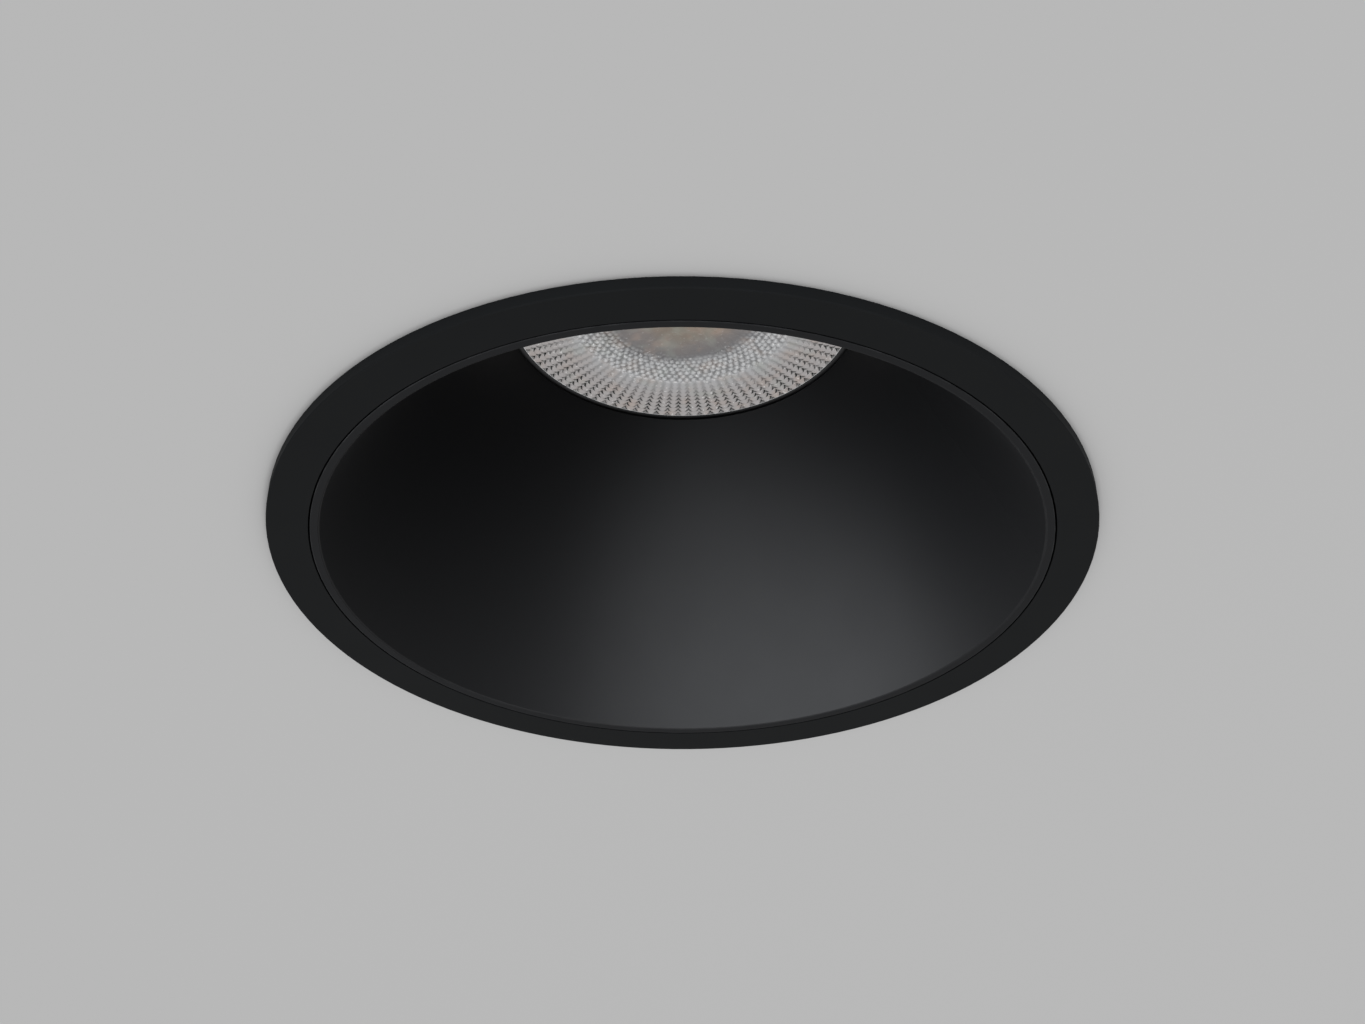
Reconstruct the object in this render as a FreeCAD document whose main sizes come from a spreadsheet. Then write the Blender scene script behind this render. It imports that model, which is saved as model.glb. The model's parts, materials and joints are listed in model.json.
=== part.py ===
import FreeCAD, Part
import math
import os
import re
import Sketcher
from FreeCAD import Placement, Rotation, Vector

# Round recessed soffit downlight, in millimetres. The origin is on the light's axis in the plane of
# the soffit; +Z points up into the cavity, and the flange hangs just below the plane.

os.makedirs("parts", exist_ok=True)
doc = FreeCAD.newDocument("soffit_downlight")

# ---------------------------------------------------------------- driving sizes
sizes = {
    # flange, collar and cone, from the mouth outwards
    "mouthRadius": 48.18,  # inside of the cone at the flange's face
    "lipWidth": 1.155,  # flat rim of the cone, flush with the flange
    "lipGap": 0.25,  # fine dark line between the rim and the flange
    "collarWall": 1.715,  # collar that passes through the cut-out
    "flangeOverhang": 3.7,  # flange beyond the collar
    "flangeThick": 1.69,
    "flangeBevel": 0.12,
    "lipBevel": 0.15,
    "collarHeight": 8.0,  # top of the collar above the soffit
    "bandHeight": 2.0,  # top of the cone's straight band above the soffit
    "coneWall": 1.2,
    "coneGap": 0.4,  # air between the cone and the frame round it
    "coneTopBevel": 0.25,
    "recessDepth": 42.0,  # height of the cone's top and of the lens face
    # snap bumps that hold the cone in the frame
    "bumpLow": 4.5,
    "bumpHeight": 1.5,
    "bumpProud": 0.9,
    "bumpRoom": 0.3,
    "bumpAngle": 10.0,
    "bumpAngleRoom": 2.0,
    # seals
    "gasketWidth": 1.6,
    "gasketDepth": 0.8,
    "gasketInset": 1.0,  # groove's distance from the collar
    "sealRoom": 0.1,
    "coneSealThick": 1.0,
    "lensSealThick": 1.0,
    # frame above the collar: arms, with a clip between each two
    "armCount": 3,
    "armWall": 2.4,
    "armHalfAngle": 22.0,
    "topFlangeThick": 3.5,
    "ribThick": 2.4,
    "ribInset": 1.0,
    "screwBossRadius": 4.0,
    "screwBossInset": 0.5,  # boss's edge inside the skirt
    "screwBossDrop": 6.0,
    # lens and its retainer
    "lensRadius": 25.45,
    "lensGap": 0.65,  # dark ring between the lens and the cone's top edge
    "lensRim": 1.95,
    "lensRimThick": 1.5,
    "lensHeight": 20.2,
    "lensShoulder": 2.8,  # step from the rim in to the lens's curved side
    "lensBackRadius": 10.0,
    "lensCupRadius": 6.8,
    "lensCupDepth": 7.6,
    "lensCupTaper": 1.0,
    "lensDomeRise": 1.4,
    "lensSideCurve": 60.0,  # radius of the curved side
    "retainerGap": 0.3,  # retainer above the cone's top edge
    "retainerLip": 0.8,
    "retainerReveal": 0.2,
    "retainerRoom": 0.3,
    "retainerWidth": 6.3,
    # heat sink
    "skirtWall": 2.7,
    "skirtRoom": 0.3,
    "innerLedgeHeight": 6.0,
    "innerLedgeRoom": 1.4,
    "lensChamberWall": 4.0,
    "pedestalHeight": 2.5,
    "baseThick": 4.5,
    "earHeight": 4.0,
    "finReach": 6.0,
    "finThick": 1.8,
    "finCount": 24,
    "finFoot": 5.0,  # fins start this far above the cone's top
    "finCrown": 5.0,
    "terminalChamberHeight": 20.0,
    "terminalChamberWall": 2.5,
    "terminalChamberRoom": 3.7,  # from the risers of the leads to the wall
    "coverBossRadius": 3.3,
    # light source
    "ledBoardSide": 19.0,
    "ledBoardThick": 1.5,
    "phosphorRadius": 7.0,
    "phosphorThick": 0.5,
    "thermalPadThick": 0.3,
    "holderRadius": 17.0,
    "holderThick": 3.5,
    "holderWindow": 8.5,
    "holderFlare": 1.3,
    "holderScrewCircle": 13.0,
    "holderGap": 0.3,  # between the lens's back and the holder
    "pedestalMargin": 1.0,
    "boardRoom": 0.2,
    # leads
    "leadRadius": 0.7,
    "leadSpacing": 10.0,
    "leadBend": 4.2,
    "leadStub": 4.5,  # length inside the holder
    "leadEase": 0.1,  # straight run before each bend
    "leadRoom": 0.15,
    "grommetWall": 1.05,
    "grommetFlange": 0.9,
    "grommetFlangeThick": 0.8,
    "grommetRoom": 0.1,
    # terminal block
    "blockLength": 17.0,
    "blockWidth": 19.0,
    "blockHeight": 11.0,
    "blockWireHeight": 5.0,
    "insertRadius": 2.3,
    "insertBore": 1.5,
    "insertInset": 1.5,
    "insertRoom": 0.1,
    "terminalScrewReach": 4.5,
    "terminalScrewDrop": 1.5,  # head below the block's top
    "blockScrewSink": 5.0,
    "blockScrewRoom": 0.1,
    "blockSlotWidth": 1.2,
    "blockSlotDepth": 2.0,
    # rear cover
    "coverThick": 3.5,
    "coverOverhang": 6.0,
    "coverBevel": 1.0,
    "coverSealWidth": 1.7,
    "coverSealDepth": 1.0,
    "coverScrewInset": 2.1,
    # cable gland
    "glandStemRadius": 8.0,
    "glandStemLength": 6.0,  # below the cover
    "glandHexRadius": 11.5,
    "glandHexHeight": 5.0,
    "glandCollarRadius": 7.7,
    "glandCollarHeight": 6.5,
    "glandBore": 5.0,
    "glandSealBore": 3.25,  # cable passage
    "glandSealRadius": 5.9,
    "glandSealProud": 1.0,
    "glandSealSeat": 1.5,  # floor of the seal's pocket below the hexagon's top
    "glandFit": 0.15,
    "glandWasherWidth": 2.8,
    "glandWasherThick": 1.0,
    "glandNutHeight": 4.0,
    "glandNutRadius": 12.0,
    "glandCapRadius": 11.0,
    "glandCapGap": 0.8,
    "glandCapHex": 7.5,
    "glandCapDome": 5.0,
    "glandCapMouth": 3.9,
    "glandCapLip": 2.5,
    "glandCapSlope": 1.0,
    "glandBevel": 0.4,
    "hexLand": 0.2,  # how far the cone on a hexagon's corners stays outside its flats
    # screws
    "largeScrewRadius": 1.5,
    "largeHeadRadius": 2.75,
    "largeHeadHeight": 2.2,
    "smallScrewRadius": 1.25,
    "smallHeadRadius": 2.1,
    "smallHeadHeight": 1.5,
    "screwFit": 0.05,
    "screwRoom": 0.25,
    "recessWidth": 0.6,
    "recessReach": 1.25,
    "recessSink": 0.9,
    "bodyScrewLength": 10.0,
    "retainerScrewLength": 6.0,
    "holderScrewLength": 6.0,
    "coverScrewLength": 10.0,
    "bracketScrewLength": 4.8,
    "blockScrewLength": 9.0,
    "screwBevel": 0.3,
    "holeSpare": 0.5,  # blind holes past the tip of their screw
    # shared by every piece
    "joinDepth": 0.5,  # how far one form of a casting is sunk into the next
    "cutSpare": 1.0,  # how far a cut runs past the face that it opens
    # spring clips
    "pinInset": 5.1,  # hinge axis inside the collar's outer face
    "pinRadius": 1.25,
    "pinFit": 0.05,
    "hingeFit": 0.08,
    "pinHeadRadius": 2.1,
    "pinHeadThick": 0.8,
    "footThick": 1.0,
    "footHalfWidth": 14.0,
    "footInset": 0.9,
    "earThick": 1.0,
    "earRadius": 2.6,
    "bracketScrewSide": 11.0,
    "bracketScrewShift": 0.4,
    "earFootInset": 0.2,
    "earFootSetback": 1.2,
    "bladeWidth": 12.0,
    "bladeThick": 0.8,
    "bladeReach": 45.0,
    "bladeRoot": 3.6,
    "bladeCorner": 3.0,
    "cheekThick": 0.8,
    "cheekRadius": 2.4,
    "cheekLength": 10.0,
    "cheekRoom": 0.3,
    "bladeTilt": 6.0,  # blade below level when it rests on its foot, in degrees
    "stopGap": 0.22,
    "sleeveLength": 22.0,
    "sleeveWall": 1.0,
    "sleeveFit": 0.05,
    # torsion springs
    "wireRadius": 0.45,
    "coilRadius": 2.3,
    "coilPitch": 1.45,
    "coilWholeTurns": 3,
    "legGap": 0.25,
    "legReach": 15.0,
    "legHoleRoom": 0.2,
    "legTipInset": 0.2,
}

sheet = doc.addObject("Spreadsheet::Sheet", "sizes")
for row, (name, size) in enumerate(sizes.items(), start=1):
    sheet.set(f"A{row}", name)
    sheet.set(f"B{row}", str(size))
    sheet.setAlias(f"B{row}", name)
doc.recompute()

# ---------------------------------------------------------------- places worked out from the sizes
places = {
    # radii of the mouth
    "lipRadius": "mouthRadius + lipWidth",
    "boreRadius": "lipRadius + lipGap",
    "collarRadius": "boreRadius + collarWall",
    "flangeRadius": "collarRadius + flangeOverhang",
    "gasketInside": "collarRadius + gasketInset",
    "gasketOutside": "gasketInside + gasketWidth + 2 * sealRoom",
    # cone
    "coneTopRadius": "lensRadius + lensGap",
    "coneSlope": "(mouthRadius - coneTopRadius) / (recessDepth + flangeThick)",
    "coneAcross": "coneWall * sqrt(1 + coneSlope ^ 2)",
    "ledgeHeight": "bandHeight + coneSealThick",
    # lens, retainer and heat sink, from the lens outwards
    "retainerBore": "lensRadius + retainerReveal",
    "lensRimRadius": "lensRadius + lensRim",
    "lensSideRadius": "lensRimRadius - lensShoulder",
    "pocketRadius": "lensRimRadius + retainerRoom",
    "retainerRadius": "pocketRadius + retainerWidth",
    "retainerScrewCircle": "(pocketRadius + retainerRadius) / 2",
    "skirtInside": "retainerRadius + skirtRoom",
    "skirtRadius": "skirtInside + skirtWall",
    "innerLedgeRadius": "lensSideRadius + innerLedgeRoom",
    "bodyScrewCircle": "skirtRadius + screwBossRadius - screwBossInset",
    "topFlangeRadius": "skirtRadius + finReach",
    "finRadius": "skirtRadius + finReach",
    # heights of the same stack
    "retainerLow": "recessDepth + retainerGap",
    "rimLow": "retainerLow + retainerLip",
    "rimHigh": "rimLow + lensRimThick",
    "shoulderHeight": "rimHigh + lensSealThick",
    "lensTop": "recessDepth + lensHeight",
    "holderLow": "lensTop + holderGap",
    "pedestalFace": "holderLow + holderThick",
    "baseLow": "pedestalFace + pedestalHeight",
    "baseTop": "baseLow + baseThick",
    "chamberTop": "baseTop + terminalChamberHeight",
    "coverTop": "chamberTop + coverThick",
    "boardHigh": "pedestalFace - thermalPadThick",
    "boardLow": "boardHigh - ledBoardThick",
    "flangeUnder": "recessDepth - topFlangeThick",
    # leads and terminals
    "leadHeight": "baseLow - leadEase - leadBend",
    "riserReach": "holderRadius + leadEase + leadBend",
    "wireHeight": "baseTop + blockWireHeight",
    "blockTop": "baseTop + blockHeight",
    "pedestalRadius": "holderRadius + pedestalMargin",
    "chamberRadius": "riserReach + terminalChamberRoom",
    "chamberOutside": "chamberRadius + terminalChamberWall",
    "grommetRadius": "leadRadius + leadRoom + grommetWall",
    "insertSeat": "insertRadius + insertRoom",
    # rear cover and gland
    "coverRadius": "chamberOutside + coverOverhang",
    "coverScrewCircle": "chamberOutside + coverScrewInset",
    "coverSealInside": "chamberRadius + (terminalChamberWall - coverSealWidth) / 2",
    "coverSealOutside": "coverSealInside + coverSealWidth",
    "glandHexLow": "coverTop + glandWasherThick",
    "glandHexTop": "glandHexLow + glandHexHeight",
    "glandCollarTop": "glandHexTop + glandCollarHeight",
    "glandSealLow": "glandHexTop - glandSealSeat",
    "glandSealTop": "glandCollarTop + glandSealProud",
    "glandCapLow": "glandHexTop + glandCapGap",
    "glandCapWaist": "glandCapLow + glandCapHex",
    "glandCapTop": "glandCapWaist + glandCapDome",
    # spring clips: x outwards from the light's axis, z up
    "pinReach": "collarRadius - pinInset",
    "footReach": "collarRadius - footInset",
    "footTop": "collarHeight + footThick",
    "cheekInside": "bladeWidth / 2 - cheekThick",
    "earInside": "bladeWidth / 2 + cheekRoom",
    "earOutside": "earInside + earThick",
    "bladeTopDrop": "coilRadius + wireRadius + legGap",
    "bladeDrop": "bladeTopDrop + bladeThick",
    "tipRise": "(bladeDrop + (footReach - pinReach) * sin(bladeTilt * 1deg)) / cos(bladeTilt * 1deg)",
    "pinHeight": "footTop + stopGap + tipRise",
    "coilTurns": "coilWholeTurns + (270 - bladeTilt) / 360",
    "legSide": "-coilPitch * coilTurns / 2",
}


def coneInside(height):
    return f"(mouthRadius - coneSlope * (({height}) + flangeThick))"


def coneOutside(height):
    return f"({coneInside(height)} + coneAcross)"


def frameInside(height):
    return f"({coneOutside(height)} + coneGap)"


places["footInside"] = frameInside("collarHeight") + " + footInset"
places["bracketScrewRing"] = "(footInside + footReach) / 2 + bracketScrewShift"
places["bracketScrewReach"] = "sqrt(bracketScrewRing ^ 2 - bracketScrewSide ^ 2)"


def formula(text):
    """A size or place written in words, as an expression on the sheet's cells."""

    def spell(match):
        word = match.group(0)
        if word in places:
            return "(" + formula(places[word]) + ")"
        if word in sizes:
            return "sizes." + word
        return word

    return re.sub(r"[A-Za-z]\w*", spell, text)


def value(text):
    return float(sheet.evalExpression(formula(text)))


# ---------------------------------------------------------------- how the pieces are made
def newBody(label):
    body = doc.addObject("PartDesign::Body", label)
    body.Label = label
    return body


def originFeature(body, role):
    return next(item for item in body.Origin.OriginFeatures if item.Role == role)


def newSketch(body, role, lift=None, turn=None):
    """An empty sketch on one of the body's own planes, lifted along its normal or turned upright."""
    sketch = body.newObject("Sketcher::SketchObject", "Sketch")
    sketch.AttachmentSupport = [(originFeature(body, role), "")]
    sketch.MapMode = "FlatFace"
    if turn is not None:
        sketch.AttachmentOffset = Placement(Vector(), Rotation(Vector(0, 1, 0), turn))
    if lift is not None:
        sketch.setExpression("AttachmentOffset.Base.z", formula(lift))
    return sketch


def bindPoint(sketch, edge, point, x, y):
    """Hold one point of an edge at x, y from the sketch's origin."""
    for kind, text in (("DistanceX", x), ("DistanceY", y)):
        if text is not None:
            index = sketch.addConstraint(Sketcher.Constraint(kind, -1, 1, edge, point, value(text)))
            sketch.setExpression(f"Constraints[{index}]", formula(text))


def drawOutline(sketch, corners, arcs=None):
    """A closed outline through the corners. arcs gives, for the edge that leaves a corner, the
    centre of its arc and whether it runs anticlockwise."""
    arcs = arcs or {}
    spots = [Vector(value(x), value(y), 0) for x, y in corners]
    first = sketch.GeometryCount
    ends = []
    for index, spot in enumerate(spots):
        following = spots[(index + 1) % len(spots)]
        if index not in arcs:
            sketch.addGeometry(Part.LineSegment(spot, following), False)
            ends.append((1, 2))
            continue
        x, y, anticlockwise = arcs[index]
        centre = Vector(value(x), value(y), 0)
        begin, finish = (spot, following) if anticlockwise else (following, spot)
        circle = Part.Circle(centre, Vector(0, 0, 1), (spot - centre).Length)
        angles = [math.atan2(p.y - centre.y, p.x - centre.x) for p in (begin, finish)]
        sketch.addGeometry(Part.ArcOfCircle(circle, angles[0], angles[1]), False)
        ends.append((1, 2) if anticlockwise else (2, 1))
    for index, (leave, arrive) in enumerate(ends):
        following = (index + 1) % len(ends)
        coincident = ("Coincident", first + index, arrive, first + following, ends[following][0])
        sketch.addConstraint(Sketcher.Constraint(*coincident))
        bindPoint(sketch, first + index, leave, *corners[index])
        if index in arcs:
            chord = spots[following] - spots[index]
            x, y, _ = arcs[index]
            level = abs(chord.x) > abs(chord.y)
            bindPoint(sketch, first + index, 3, None if level else x, y if level else None)
    return sketch


def drawCircles(sketch, circles):
    """Circles given by centre and radius."""
    for x, y, radius in circles:
        centre = Vector(value(x), value(y), 0)
        edge = sketch.addGeometry(Part.Circle(centre, Vector(0, 0, 1), value(radius)), False)
        bindPoint(sketch, edge, 3, x, y)
        index = sketch.addConstraint(Sketcher.Constraint("Radius", edge, value(radius)))
        sketch.setExpression(f"Constraints[{index}]", formula(radius))
    return sketch


def finish(body, feature, before):
    """Recompute, and for a cut make sure that it took something away."""
    doc.recompute()
    if before is not None and feature.Shape.Volume > before - 1e-3:
        raise RuntimeError(f"{feature.Label} of {body.Label} cut nothing")
    return feature


def revolve(body, sketch, cutting=False, angle=None):
    """Turn a sketch round its own upright axis, all the way or by a centred angle."""
    before = body.Shape.Volume if cutting else None
    kind = "PartDesign::Groove" if cutting else "PartDesign::Revolution"
    feature = body.newObject(kind, "Turned")
    feature.Profile = sketch
    feature.ReferenceAxis = (sketch, ["V_Axis"])
    feature.Angle = 360
    if angle is not None:
        feature.Midplane = True
        feature.setExpression("Angle", formula(angle))
    sketch.Visibility = False
    return finish(body, feature, before)


def pad(body, sketch, length, centred=False, reverse=False):
    feature = body.newObject("PartDesign::Pad", "Pad")
    feature.Profile = sketch
    feature.setExpression("Length", formula(length))
    feature.Midplane = centred
    feature.Reversed = reverse
    return finish(body, feature, None)


def pocket(body, sketch, length, centred=False, reverse=False):
    before = body.Shape.Volume
    feature = body.newObject("PartDesign::Pocket", "Pocket")
    feature.Profile = sketch
    feature.setExpression("Length", formula(length))
    feature.Midplane = centred
    feature.Reversed = reverse
    return finish(body, feature, before)


def around(body, features, count):
    """Repeat features evenly round the light's axis."""
    pattern = body.newObject("PartDesign::PolarPattern", "Pattern")
    pattern.Originals = features
    pattern.Axis = (originFeature(body, "Z_Axis"), [""])
    pattern.Angle = 360
    pattern.setExpression("Occurrences", formula(count))
    body.Tip = pattern
    doc.recompute()
    return pattern


def ring(label, inside, outside, low, high):
    """A plain ring round the light's axis."""
    body = newBody(label)
    corners = [(inside, low), (outside, low), (outside, high), (inside, high)]
    revolve(body, drawOutline(newSketch(body, "XZ_Plane"), corners))
    return body


def block(label, length, width, low, height):
    """A plain block centred on the light's axis."""
    body = newBody(label)
    corners = rectangle(f"-({length}) / 2", f"({length}) / 2", f"-({width}) / 2", f"({width}) / 2")
    pad(body, drawOutline(newSketch(body, "XY_Plane", low), corners), height)
    return body


def rectangle(left, right, low, high):
    return [(left, low), (right, low), (right, high), (left, high)]


def hexagon(radius):
    return [(f"({radius}) * cos({60 * k}deg)", f"({radius}) * sin({60 * k}deg)") for k in range(6)]


nodes = {}


def keep(body):
    nodes[body.Label] = body
    return body


def screwPattern(name, size, length):
    """A pan-head screw with a cross recess: head up, underside of the head at its origin."""
    shank, head, height = (size + part for part in ("ScrewRadius", "HeadRadius", "HeadHeight"))
    body = newBody(name)
    corners = [
        ("0", f"-({length})"),
        (f"{shank} - screwBevel", f"-({length})"),
        (shank, f"-({length}) + screwBevel"),
        (shank, "0"),
        (head, "0"),
        (head, f"{height} - 2 * screwBevel"),
        (f"{head} - 2 * screwBevel", height),
        ("0", height),
    ]
    revolve(body, drawOutline(newSketch(body, "XZ_Plane"), corners))
    near, far = "recessWidth / 2", "recessReach"
    cross = [
        (far, f"-{near}"),
        (far, near),
        (near, near),
        (near, far),
        (f"-{near}", far),
        (f"-{near}", near),
        (f"-{far}", near),
        (f"-{far}", f"-{near}"),
        (f"-{near}", f"-{near}"),
        (f"-{near}", f"-{far}"),
        (near, f"-{far}"),
        (near, f"-{near}"),
    ]
    pocket(body, drawOutline(newSketch(body, "XY_Plane", height), cross), "recessSink")
    return body


def group(label, pattern, spots, headDown=False):
    """Equal loose pieces as separate solids of one node."""
    turn = Rotation(Vector(1, 0, 0), 180 if headDown else 0)
    copies = []
    for spot in spots:
        copy = pattern.Shape.copy()
        copy.Placement = Placement(spot, turn)
        copies.append(copy)
    feature = doc.addObject("Part::Feature", label)
    feature.Label = label
    feature.Shape = Part.makeCompound(copies)
    return keep(feature)


def polar(radius, degrees, height):
    angle = math.radians(degrees)
    return Vector(radius * math.cos(angle), radius * math.sin(angle), height)


armAngles = [270 + 360 / sizes["armCount"] * k for k in range(sizes["armCount"])]
clipAngles = [angle - 180 for angle in armAngles]


# ---------------------------------------------------------------- frame and cone
def makeTrimFrame():
    """Flange, collar, arms and top flange, cast in one piece."""
    body = newBody("trim_frame")
    armLow = frameInside("collarHeight") + " + armWall"
    armHigh = frameInside("flangeUnder") + " + armWall"
    profile = [
        ("boreRadius", "-flangeThick"),
        ("flangeRadius - flangeBevel", "-flangeThick"),
        ("flangeRadius", "flangeBevel - flangeThick"),
        ("flangeRadius", "0"),
        ("gasketOutside", "0"),
        ("gasketOutside", "-gasketDepth"),
        ("gasketInside", "-gasketDepth"),
        ("gasketInside", "0"),
        ("collarRadius", "0"),
        ("collarRadius", "collarHeight"),
        (armLow, "collarHeight"),
        (armHigh, "flangeUnder"),
        ("topFlangeRadius", "flangeUnder"),
        ("topFlangeRadius", "recessDepth"),
        (frameInside("recessDepth"), "recessDepth"),
        (frameInside("ledgeHeight"), "ledgeHeight"),
        ("boreRadius", "ledgeHeight"),
    ]
    revolve(body, drawOutline(newSketch(body, "XZ_Plane"), profile))

    # windows between the arms, the first one facing the first clip
    spread = "flangeRadius * tan((180 / armCount - armHalfAngle) * 1deg)"
    wedge = [("0", "0"), (spread, "flangeRadius"), (f"-{spread}", "flangeRadius")]
    windowSketch = drawOutline(newSketch(body, "XY_Plane", "collarHeight"), wedge)
    window = pocket(body, windowSketch, "flangeUnder - collarHeight", reverse=True)
    around(body, [window], "armCount")

    # a rib down the middle of each arm, the first one towards -Y
    ribCorners = [
        ("ribInset - collarRadius", "collarHeight - joinDepth"),
        ("-(" + frameInside("collarHeight") + " + armWall / 2)", "collarHeight - joinDepth"),
        ("-(" + frameInside("flangeUnder") + " + armWall / 2)", "flangeUnder + joinDepth"),
        ("-topFlangeRadius", "flangeUnder + joinDepth"),
    ]
    rib = pad(body, drawOutline(newSketch(body, "YZ_Plane"), ribCorners), "ribThick", centred=True)
    around(body, [rib], "armCount")

    # bosses under the top flange for the screws that carry the heat sink
    bossSketch = newSketch(body, "XY_Plane", "recessDepth")
    drawCircles(bossSketch, [("0", "-bodyScrewCircle", "screwBossRadius")])
    boss = pad(body, bossSketch, "topFlangeThick + screwBossDrop", reverse=True)
    around(body, [boss], "armCount")
    holeSketch = newSketch(body, "XY_Plane", "recessDepth")
    drawCircles(holeSketch, [("0", "-bodyScrewCircle", "largeScrewRadius + screwFit")])
    hole = pocket(body, holeSketch, "bodyScrewLength - earHeight + holeSpare")
    around(body, [hole], "armCount")

    # tapped holes in the collar for the clip brackets
    side = "bracketScrewSide"
    tapSketch = newSketch(body, "XY_Plane", "collarHeight")
    tapRadius = "smallScrewRadius + screwFit"
    drawCircles(tapSketch, [(s + side, "bracketScrewReach", tapRadius) for s in ("", "-")])
    taps = pocket(body, tapSketch, "bracketScrewLength - footThick + holeSpare")
    around(body, [taps], "armCount")

    # pockets that the cone's bumps snap into
    deep = frameInside("bumpLow") + " + bumpProud - coneGap + bumpRoom"
    shallow = frameInside("bumpLow + bumpHeight + bumpRoom") + " - coneGap"
    low, high = "bumpLow - bumpRoom", "bumpLow + bumpHeight + bumpRoom"
    snap = rectangle(f"-({deep})", f"-({shallow})", low, high)
    snapSketch = drawOutline(newSketch(body, "YZ_Plane"), snap)
    snapPocket = revolve(body, snapSketch, cutting=True, angle="bumpAngle + bumpAngleRoom")
    around(body, [snapPocket], "armCount")
    return keep(body)


def makeReflectorCone():
    """Smooth anti-glare cone with a flat rim and a straight band that fills the collar's bore."""
    body = newBody("reflector_cone")
    profile = [
        ("mouthRadius + lipBevel", "-flangeThick"),
        ("lipRadius", "-flangeThick"),
        ("lipRadius", "bandHeight"),
        (coneOutside("bandHeight"), "bandHeight"),
        (coneOutside("recessDepth"), "recessDepth"),
        ("coneTopRadius + coneTopBevel", "recessDepth"),
        (coneInside("recessDepth - coneTopBevel"), "recessDepth - coneTopBevel"),
        (coneInside("lipBevel - flangeThick"), "lipBevel - flangeThick"),
    ]
    revolve(body, drawOutline(newSketch(body, "XZ_Plane"), profile))
    outside = coneOutside("bumpLow") + " + bumpProud"
    bumpTop = "bumpLow + bumpHeight"
    bump = [
        (f"-({outside})", "bumpLow"),
        (f"-({coneInside('bumpLow')} + coneAcross / 2)", "bumpLow"),
        (f"-({coneInside(bumpTop)} + coneAcross / 2)", bumpTop),
        (f"-({outside})", bumpTop),
    ]
    bumpSketch = drawOutline(newSketch(body, "YZ_Plane"), bump)
    snap = revolve(body, bumpSketch, angle="bumpAngle")
    around(body, [snap], "armCount")
    return keep(body)


def makeSeals():
    """Soft rings: under the flange, behind the cone's rim and above the lens."""
    inside, outside = "gasketInside + sealRoom", "gasketOutside - sealRoom"
    keep(ring("soffit_gasket", inside, outside, "-gasketDepth", "0"))
    inside = coneOutside("bandHeight") + " + 2 * sealRoom"
    keep(ring("cone_seal", inside, "lipRadius", "bandHeight", "ledgeHeight"))
    inside = "lensSideRadius + 3 * sealRoom"
    keep(ring("lens_seal", inside, "lensRimRadius", "rimHigh", "shoulderHeight"))


# ---------------------------------------------------------------- lens and light source
def arcCentre(start, end, radius, side):
    """Centre of an arc of a given radius through two corners, on one side of their chord."""
    (x0, y0), (x1, y1) = start, end
    chord = f"sqrt((({x1}) - ({x0})) ^ 2 + (({y1}) - ({y0})) ^ 2)"
    reach = f"sqrt(({radius}) ^ 2 - ({chord}) ^ 2 / 4) / ({chord})"
    middle = f"(({x0}) + ({x1})) / 2", f"(({y0}) + ({y1})) / 2"
    return (
        f"{middle[0]} {side} ((({y0}) - ({y1})) * {reach})",
        f"{middle[1]} {side} ((({x1}) - ({x0})) * {reach})",
    )


def makeLens():
    """Collimating lens: flat face, rim, curved side and a cup over the light source."""
    body = newBody("optic_lens")
    cupFloor = "lensTop - lensCupDepth"
    side = ("lensSideRadius", "rimHigh"), ("lensBackRadius", "lensTop")
    dome = ("lensCupRadius - lensCupTaper", cupFloor), ("0", f"{cupFloor} + lensDomeRise")
    domeRadius = "((lensCupRadius - lensCupTaper) ^ 2 + lensDomeRise ^ 2) / (2 * lensDomeRise)"
    profile = [
        ("0", "recessDepth"),
        ("lensRadius", "recessDepth"),
        ("lensRadius", "rimLow"),
        ("lensRimRadius", "rimLow"),
        ("lensRimRadius", "rimHigh"),
        side[0],
        side[1],
        ("lensCupRadius", "lensTop"),
        dome[0],
        dome[1],
    ]
    domeCentre = ("0", f"{cupFloor} + lensDomeRise - ({domeRadius})")
    arcs = {
        5: (*arcCentre(*side, "lensSideCurve", "+"), True),
        8: (*domeCentre, True),
    }
    revolve(body, drawOutline(newSketch(body, "XZ_Plane"), profile, arcs))
    return keep(body)


def makeRetainer():
    """Black ring that holds the lens up against its seal."""
    body = newBody("lens_retainer")
    profile = [
        ("retainerBore", "retainerLow"),
        ("retainerRadius", "retainerLow"),
        ("retainerRadius", "shoulderHeight"),
        ("pocketRadius", "shoulderHeight"),
        ("pocketRadius", "rimLow"),
        ("retainerBore", "rimLow"),
    ]
    revolve(body, drawOutline(newSketch(body, "XZ_Plane"), profile))
    holeSketch = newSketch(body, "XY_Plane", "retainerLow")
    drawCircles(holeSketch, [("0", "retainerScrewCircle", "smallScrewRadius + screwRoom")])
    hole = pocket(body, holeSketch, "shoulderHeight - retainerLow", reverse=True)
    sinkSketch = newSketch(body, "XY_Plane", "retainerLow")
    drawCircles(sinkSketch, [("0", "retainerScrewCircle", "smallHeadRadius + screwRoom")])
    sink = pocket(body, sinkSketch, "smallHeadHeight", reverse=True)
    around(body, [hole, sink], "armCount")
    return keep(body)


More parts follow.
